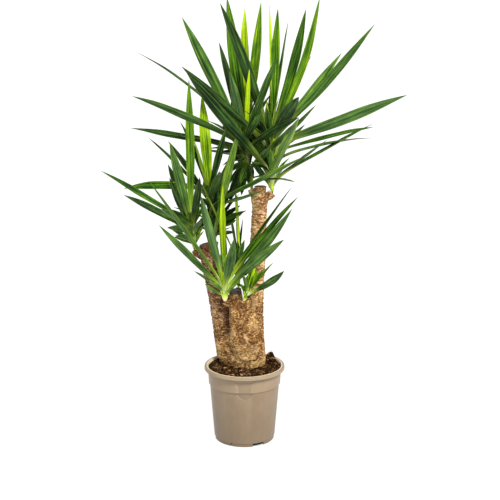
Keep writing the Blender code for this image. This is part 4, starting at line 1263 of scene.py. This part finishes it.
# The smaller leaves that stand inside each crown, as the leading ones
INNER = {
    "crown_top_right": leaf_rows(
        (1.0, 134, -60, 954, 50, 0.0, 0.6, 0.55), (0.95, 94, -30, 934, 60, 0.0, 0.8, 0.8),
        (0.85, 63, -10, 1020, 60, 0.0, 0.7, 0.9), (0.2, 21, -20, 849, 70, 0.02, 1.2, 0.1),
        (0.3, 53, 20, 809, 60, 0.02, 1.1, 0.12), (0.1, 35, 30, 860, 70, 0.02, 1.2, 0.3),
        (0.1, 60, 0, 893, 80, 0.0, 1.4, 0.3), (0.15, 113, 50, 890, 70, 0.0, 1.2, 0.35),
        (0.55, 119, 10, 833, 50, 0.02, 0.9, 0.2), (0.5, 131, 20, 852, 40, 0.02, 0.8, 0.3),
        (0.15, 20, 80, 940, 75, 0.0, 1.5, 0.7), (0.1, 120, 90, 990, 75, 0.0, 1.4, 0.8),
        (0.15, 150, 110, 940, 65, 0.02, 1.4, 0.6)),
    "crown_top_left": leaf_rows(
        (0.35, 75, -40, 895, 70, 0.0, 1.2, 0.4, 0.7), (0.3, 12, 30, 819, 60, 0.02, 1.3, 0.25),
        (0.1, -43, 60, 866, 70, 0.02, 1.4, 0.6), (0.1, -34, 0, 819, 70, 0.03, 1.4, 0.6),
        (0.15, -17, -20, 779, 70, 0.03, 1.3, 0.55), (0.1, -46, 20, 844, 65, 0.03, 1.6, 0.7),
        (0.2, -8, -20, 749, 65, 0.02, 1.3, 0.5), (0.1, -52, 60, 801, 70, 0.03, 1.3, 0.6),
        (0.15, -25, 40, 740, 60, 0.02, 1.3, 0.5), (0.1, -89, 150, 881, 30, 0.03, 1.0, 0.8),
        (0.15, -83, 120, 850, 35, 0.04, 1.0, 0.75), (0.1, -65, 130, 809, 40, 0.04, 1.1, 0.7),
        (0.15, -108, 160, 855, 30, 0.03, 1.0, 0.8), (0.1, -41, 100, 883, 60, 0.02, 1.4, 0.7),
        (0.1, 20, 110, 990, 80, 0.0, 1.6, 0.8), (0.15, -40, 120, 1000, 75, 0.0, 1.5, 0.8),
        (0.1, 60, 120, 960, 75, 0.0, 1.5, 0.75), (1.0, 15, -10, 1113, 65, 0.0, 0.8, 0.9),
        (0.35, -42, -30, 1110, 75, 0.01, 1.3, 0.7, 0.8)),
    "crown_left": leaf_rows(
        (0.2, -248, 60, 690, 60, 0.03, 0.85, 0.5), (0.15, -232, 40, 686, 65, 0.03, 0.95, 0.5),
        (0.2, -222, 90, 780, 70, 0.0, 1.3, 0.7), (0.15, -216, 20, 642, 65, 0.03, 0.9, 0.35),
        (0.1, -190, 70, 700, 75, 0.02, 1.7, 0.6), (0.15, -135, 50, 760, 80, 0.0, 1.5, 0.8),
        (0.1, -150, 70, 730, 80, 0.0, 1.7, 0.7), (0.25, -205, 0, 622, 60, 0.03, 0.9, 0.25)),
    "crown_left_back": leaf_rows(
        (0.3, -87, 40, 801, 75, 0.0, 1.4, 0.8, 0.8), (0.15, -80, 60, 770, 80, 0.0, 1.2, 0.6, 0.4),
        (0.05, -73, 90, 800, 75, 0.0, 1.5, 0.75), (0.05, -111, 80, 750, 80, 0.0, 1.3, 0.4),
        (0.05, -129, 70, 702, 75, 0.0, 1.7, 0.3), (0.1, -53, 80, 726, 75, 0.0, 1.7, 0.4),
        (0.05, -60, 90, 690, 75, 0.0, 1.8, 0.2), (0.3, -38, 60, 739, 60, 0.02, 1.3, 0.45),
        (0.25, 6, 60, 687, 50, 0.03, 1.0, 0.3), (0.2, -23, 70, 664, 60, 0.03, 1.3, 0.2),
        (0.2, -29, 60, 621, 60, 0.04, 1.2, 0.12), (0.15, -12, 110, 692, 60, 0.02, 1.2, 0.35),
        (0.05, -75, 80, 640, 75, 0.0, 1.7, 0.1), (0.1, -110, 60, 660, 80, 0.0, 1.7, 0.15)),
    "crown_front_left": leaf_rows(
        (0.75, -66, -50, 590, 70, 0.0, 1.2, 0.5), (0.6, -52, -60, 560, 60, 0.0, 1.2, 0.4),
        (0.2, -30, -20, 560, 75, 0.0, 1.3, 0.6)),
    "crown_front_right": leaf_rows(
        (0.9, 34, -60, 560, 45, 0.0, 0.9, 0.5), (0.3, 8, -60, 520, 70, 0.0, 1.1, 0.3)),
    "crown_front_back": leaf_rows(
        (0.2, -20, 40, 600, 75, 0.0, 1.3, 0.5), (0.1, -10, 30, 570, 75, 0.0, 1.4, 0.4),
        (0.15, -34, 20, 560, 70, 0.0, 1.4, 0.3), (0.25, -2, 10, 540, 60, 0.02, 1.3, 0.2)),
}
# The first and last tones of a group's leaves from the foot up
FILL_TONES = (0.15, 0.4)
YOUNG_TONES = (0.15, 0.6)
CLASPING_TONE = (0.05, 0.25)
CLASPING_TONES = {"crown_front_left": (0.8, 1.0), "crown_front_right": (0.7, 0.9), "crown_left": (0.7, 0.3),
                  "crown_top_right": (0.75, 0.15)}
# How low and how high the leading leaves leave the stem, how swollen it is, how pale the leaves' feet are,
# and from how pale feet on the stem is pale with them
LOWEST_ROOTS = {"crown_front_left": 0.08, "crown_front_right": 0.2, "crown_front_back": 0.25,
                "crown_left": 0.3, "crown_top_right": 0.25}
HIGHEST_ROOTS = {"crown_front_left": 0.6}
SWOLLEN_FEET = {"crown_front_left": 1.05, "crown_front_right": 0.8}
SWOLLEN_FOOT = 0.72
PALE_FEET = {"crown_front_left": 1.0, "crown_front_right": 0.8, "crown_left": 0.6, "crown_top_right": 0.35}
PALE_FOOT = 0.15
PALE_STEM_FROM = 0.7
CLASPING_ROOTS = (0.03, 0.8)
YOUNG_ROOTS = (0.85, 1.0)
STEM_ROWS = 40
STEM_LUMP = 0.8 * MM
STEM_RINGED = 0.035
STEM_SHAPE = ((0, 0.4), (0.06, 0.66), (0.14, 0.92), (0.24, 1.05), (0.36, 0.95), (0.5, 0.62), (0.85, 0.55),
              (1, 0.3))


def blade_width(share):
    """The blade's width along it, as a share of its widest: a clasping foot, a waist and a long taper."""
    if share < BLADE_WIDEST_AT:
        swell = math.sin(math.pi / 2 * share / BLADE_WIDEST_AT) ** 2
        clasp = BLADE_CLASP * max(0.0, 1 - share / BLADE_CLASP_SHARE)
        return BLADE_BASE_SHARE + clasp + (1 - BLADE_BASE_SHARE) * swell
    taper = math.cos(math.pi / 2 * (share - BLADE_WIDEST_AT) / (1 - BLADE_WIDEST_AT)) ** 0.85
    return max(BLADE_LEAST_SHARE, taper)


def blade_face(along, inward, broadside):
    """The way the upper face looks: at the crown's axis, or turned from edge-on to broadside."""
    if broadside is None:
        return inward
    viewer = (TOWARDS_VIEWER - along * along.dot(TOWARDS_VIEWER)).normalized()
    edge = along.cross(viewer)
    if edge.dot(inward) < 0:
        edge.negate()
    if viewer.dot(inward) < 0:
        viewer.negate()
    turn = math.radians(broadside)
    return edge * math.cos(turn) + viewer * math.sin(turn)


def fill_leaves(shoot, fill, tones, roots=None):
    """Leaves turned by the golden angle, one after another. Without roots they keep to the back and front."""
    draw = random.Random(fill.seed)
    drawn = []
    for i in range(fill.count):
        share = (i + 0.5) / fill.count
        turn = math.remainder(i * GOLDEN_ANGLE, math.tau)
        rise = math.radians(draw.uniform(fill.low, fill.high))
        length = draw.uniform(fill.least, fill.most)
        root, start, width = None, shoot.heart, 1.0
        if roots:
            root = roots[0] + (roots[1] - roots[0]) * share
            start, width = shoot.seat.lerp(shoot.heart, root), CLASPING_WIDTH
        elif i % 3 == 2:
            turn = turn * FRONT_SECTOR + math.pi
        else:
            turn *= BACK_SECTOR
        out = Vector((math.sin(turn) * math.cos(rise), math.cos(turn) * math.cos(rise), math.sin(rise)))
        tone = tones[0] + (tones[1] - tones[0]) * share
        tip = (start + out * length * MM) / MM
        drawn.append(Leaf(tone, *tip, None, draw.uniform(0.01, 0.05), width, root))
    return drawn


def leaf_roots(shoot, leaves, tips, lowest, highest):
    """Drooping leaves leave the stem low and upright ones at its top, each on its own side of it."""
    rises = [(tip - shoot.heart).normalized().z for tip in tips]
    order = sorted(range(len(tips)), key=lambda i: rises[i])
    axis = (shoot.heart - shoot.seat).normalized()
    roots = {}
    for rank, i in enumerate(order):
        share = leaves[i].root
        if share is None:
            share = lowest + (highest - lowest) * (rank / (len(tips) - 1)) ** ROOT_CROWDING
        out = tips[i] - shoot.heart
        out -= axis * out.dot(axis)
        reach = ROOT_REACH * shoot.radius * (1 - 0.5 * share)
        roots[i] = shoot.seat.lerp(shoot.heart, share) + out.normalized() * reach
    return [roots[i] for i in range(len(tips))]


def midrib(root, tip, leaf, axis, draw):
    """Rows of place, sideways, upper-face direction, half width and share along a blade."""
    chord = tip - root
    length = chord.length
    along = chord.normalized()
    inward = axis - along * axis.dot(along)
    if inward.length < LEAST_LEAN:
        inward = TOWARDS_VIEWER - along * along.dot(TOWARDS_VIEWER)
    inward.normalize()
    face = blade_face(along, inward, leaf.broadside)
    flank = along.cross(face)
    width = (BLADE_LEAST_WIDTH + BLADE_WIDTH_PER_LENGTH * length) * leaf.width
    sway = draw.uniform(-MOST_SWAY, MOST_SWAY) * length
    twist = math.radians(draw.uniform(-MOST_TWIST, MOST_TWIST))
    shares = [(i / BLADE_STATIONS) ** 0.92 for i in range(BLADE_STATIONS + 1)]
    places = []
    for share in shares:
        place = root + chord * share + inward * leaf.arch * length * 4 * share * (1 - share)
        place += (axis - along) * length * UPRIGHT_START * share * (1 - share) ** 5
        places.append(place + flank * sway * math.sin(2.2 * math.pi * share) * (1 - share))
    rows = []
    for i, (share, place) in enumerate(zip(shares, places)):
        slope = (places[min(i + 1, BLADE_STATIONS)] - places[max(i - 1, 0)]).normalized()
        up = (face - slope * face.dot(slope)).normalized()
        up.rotate(Matrix.Rotation(twist * (share - 0.4), 3, slope))
        rows.append((place, slope.cross(up), up, width / 2 * blade_width(share), share))
    return rows


def midribs(name, shoot, groups, draw):
    """A line along each leaf of a shoot. The roots of one group don't depend on the others."""
    axis = (shoot.heart - shoot.seat).normalized()
    lowest, highest = LOWEST_ROOTS.get(name, LOWEST_ROOT), HIGHEST_ROOTS.get(name, 1.0)
    pale = PALE_FEET.get(name, PALE_FOOT)
    lines = []
    for group in groups:
        tips = [mm(leaf.across, leaf.back, leaf.up) for leaf in group]
        for leaf, tip, root in zip(group, tips, leaf_roots(shoot, group, tips, lowest, highest)):
            extra = leaf.tone, leaf.bloom, draw.random(), pale
            lines.append([(*row, *extra) for row in midrib(root, tip, leaf, axis, draw)])
    return ribbon_lines(name + "_midribs", lines, ("half", "along", "tone", "bloom", "chance", "pale"))


def leaf_look():
    """Leaf with lengthwise stripes and veins, a pale margin, a greyer underside, a grey bloom that is partly
    a painted sheen, painted shade along the midrib, and a lime foot or a foot darkened by painted shade in
    the crown's heart.
    """
    look = Finish("yucca_leaf", specular_ior_level=0.12)
    tone, along, across, rise = look.values("tone", "along", "across", "rise")
    bloom, chance, pale = look.values("bloom", "chance", "pale")
    blotch = look.noise(look.place, 14, 3)
    stripes = look.noise(look.joined(across * 1.5 + chance * 70, along * 0.8, chance * 50), 2.4, 3, 0.6)
    veins = look.noise(look.joined(across * 7 + chance * 60, along * 1.4, chance * 30), 3.2, 3, 0.7)
    bands = look.noise(look.joined(across * 1.5, along * 5, chance * 90), 1.6, 2)
    # Painted shade on the feet of the darker leaves, deep in the crown's heart.
    deep = along.clamped(0.45, 0.05) * (1 - tone.clamped(0.3, 0.7)) * (1 - pale)
    shade = (tone + (blotch - 0.5) * 0.5 + (stripes - 0.5) * 1.3 + (veins - 0.5) * 0.8 + (bands - 0.5) * 0.5
             - deep * 0.22 - 0.02)
    green = look.ramp(shade, (0.0, (0.002, 0.010, 0.001)), (0.25, (0.020, 0.070, 0.004)),
                      (0.55, (0.102, 0.250, 0.007)), (1.0, (0.60, 0.84, 0.010)))
    grey = look.ramp(shade, (0.0, (0.010, 0.030, 0.010)), (0.5, (0.105, 0.200, 0.066)),
                     (1.0, (0.29, 0.42, 0.16)))
    under = rise.clamped(0.05, -0.05) * 0.35 * (1 - tone.clamped(0.7, 0.95))
    lime = look.mixed(stripes.clamped(0.40, 0.56), (0.30, 0.54, 0.014), (0.84, 0.98, 0.12))
    tone = look.layered(
        green,
        # grey on the underside, and the grey bloom, which is partly a painted sheen
        (look.maths("MAXIMUM", under, bloom), grey),
        (abs(across).clamped(0.86, 0.97) * 0.45, (0.24, 0.36, 0.03)),
        # painted shade along the midrib, where the blade folds into its channel
        (abs(across).clamped(0.10, 0.02) * 0.4, (0.004, 0.016, 0.002)),
        (along.clamped(0.36, 0.04) * pale * 0.9, lime),
        (along.clamped(0.16, 0.03) * pale * 0.8, (0.95, 0.96, 0.62)),
        (along.clamped(0.978, 0.992), (0.09, 0.045, 0.015)))
    look.set(base_color=tone, roughness=0.45 + veins * 0.14 + bloom * 0.15)
    look.bumped(stripes * 0.5 + veins * 0.5, 0.0008, 0.5)
    return look


def stem_look():
    """Green stem with lime and dark stripes and the rings that fallen leaves left, pale at some feet."""
    look = Finish("green_stem", roughness=0.5, specular_ior_level=0.15)
    rise, pale = look.values("rise", "pale")
    rings = look.maths("SINE", rise * 90 + look.noise(look.place, 60, 2) * 5) * 0.5 + 0.5
    stripes = look.noise(look.stretched(1, 1, 0.12), 190, 2)
    tone = look.ramp(rise, (0.0, (0.60, 0.78, 0.05)), (0.3, (0.34, 0.54, 0.014)), (1.0, (0.10, 0.22, 0.006)))
    cream = look.ramp(rise, (0.03, (0.88, 0.66, 0.46)), (0.08, (0.98, 0.92, 0.68)),
                      (0.15, (0.84, 0.88, 0.32)), (0.26, (0.62, 0.80, 0.07)))
    look.set(base_color=look.layered(
        tone,
        (stripes.clamped(0.44, 0.54) * 0.9, (0.02, 0.075, 0.003)),
        (rings * 0.25, (0.12, 0.17, 0.02)),
        (pale * rise.clamped(0.42, 0.2), cream)))
    look.bumped(rings, 0.0008, 0.6)
    return look


def build_stem(name, shoot):
    """The shoot's stem, ringed, and swollen over its lower third where its leaves' feet are pale."""
    swell = SWOLLEN_FEET.get(name, SWOLLEN_FOOT)
    axis = (shoot.heart - shoot.seat).normalized()
    foot = shoot.seat + axis * GAP
    top = shoot.heart + axis * 6 * MM
    rows = []
    for i in range(STEM_ROWS + 1):
        radius = shoot.radius * between(STEM_SHAPE, i / STEM_ROWS) * swell
        rows.append([*foot.lerp(top, i / STEM_ROWS), radius * (1 + STEM_RINGED * math.sin(i * 1.9))])
    made = skinned(name + "_stem", tube_rings(np.array(rows), LIMB_SIDES, STEM_LUMP))
    height = array_of(made.data.vertices, "co").astype(float) @ np.array(axis) - foot.dot(axis)
    store(made.data, "rise", height / (top - foot).length)
    pale = PALE_FEET.get(name, PALE_FOOT)
    store(made.data, "pale", np.full(len(height), pale if pale > PALE_STEM_FROM else 0.0))
    return made


leaf_skin, stem_skin = leaf_look(), stem_look()
for name, shoot in SHOOTS.items():
    fill, clasping, young = FILLS[name]
    tones = CLASPING_TONES.get(name, CLASPING_TONE)
    groups = (LEAVES[name] + fill_leaves(shoot, fill, FILL_TONES), INNER[name],
              fill_leaves(shoot, clasping, tones, CLASPING_ROOTS),
              fill_leaves(shoot, young, YOUNG_TONES, YOUNG_ROOTS))
    lines = midribs(name, shoot, groups, random.Random(fill.seed))
    blades = ribbons.applied(lines, name + "_leaves", leaf_skin, Points=BLADE_POINTS,
                             Thickness=BLADE_THICKNESS, Channel=BLADE_CHANNEL)
    outward(blades)
    fitted(blades, leaf_skin, "leaf", name)
    fitted(build_stem(name, shoot), stem_skin, "leaf")


# Stage: a plain white studio floor with an upturned rim and a painted shadow under the pot, a soft surround
# and two large soft lights.
FLOOR_ROWS = ((0.05, 0.0), (20, 0.0), (34, 0.0), (38, 0.6), (40, 2.6), (41, 6), (41.5, 14))
FLOOR_SIDES = 64
SURROUND_STRENGTH = 0.42
CAMERA_AT = (0.0165, -3.6, 1.5)
CAMERA_TILT = 75.7
CAMERA_LENS = 91.44


def build_floor():
    """A flat floor that turns up into a wall far off all round, with a painted shadow under the pot."""
    bm = bmesh.new()
    loops = [[bm.verts.new((radius * c, radius * s, height)) for c, s in circle(FLOOR_SIDES)]
             for radius, height in FLOOR_ROWS]
    for inner, outer in zip(loops, loops[1:]):
        for i in range(FLOOR_SIDES):
            j = (i + 1) % FLOOR_SIDES
            bm.faces.new((inner[i], outer[i], outer[j], inner[j]))
    bm.faces.new(loops[0])
    floor = piece_from(bm, "studio_floor")
    look = Finish("studio_white", roughness=0.9, specular_ior_level=0.1, emission_strength=0.95)
    # Painted shadow: the floor is dark and does not glow within 76 to 90 mm of the pot's axis.
    clear_of_painted_shadow = look.vector("LENGTH", look.place).clamped(76 * MM, 90 * MM)
    look.set(base_color=look.mixed(clear_of_painted_shadow, (0.02, 0.015, 0.01), (0.12, 0.12, 0.12)),
             emission_color=look.mixed(clear_of_painted_shadow, (0.0, 0.0, 0.0), (1.0, 1.0, 1.0)))
    floor.data.materials.append(look.material)


def add_sun(name, strength, angle, azimuth, elevation, colour):
    """A soft light from far off. Azimuth is round from the front towards the right."""
    lamp = bpy.data.lights.new(name, "SUN")
    lamp.energy = strength
    lamp.color = colour
    lamp.angle = math.radians(angle)
    turn, rise = math.radians(azimuth), math.radians(elevation)
    towards = Vector((math.sin(turn) * math.cos(rise), -math.cos(turn) * math.cos(rise), math.sin(rise)))
    placed(name, lamp).rotation_euler = towards.to_track_quat("Z", "Y").to_euler()


build_floor()
add_sun("key_light", strength=3.8, angle=16, azimuth=32, elevation=48, colour=(1.0, 0.98, 0.93))
add_sun("fill_light", strength=0.35, angle=50, azimuth=-35, elevation=35, colour=(0.95, 0.98, 1.0))
surround = bpy.data.worlds.new("studio_surround")
surround.use_nodes = True
sky = surround.node_tree.nodes["Background"].inputs
sky["Color"].default_value = (0.95, 0.98, 1, 1)
sky["Strength"].default_value = SURROUND_STRENGTH
bpy.context.scene.world = surround
bpy.context.scene.view_settings.view_transform = "Standard"

lens = bpy.data.cameras.new("photo_camera")
lens.sensor_width = 36
lens.lens = CAMERA_LENS
camera = placed("photo_camera", lens)
camera.location = CAMERA_AT
camera.rotation_euler = (math.radians(CAMERA_TILT), 0, 0)
bpy.context.scene.camera = camera
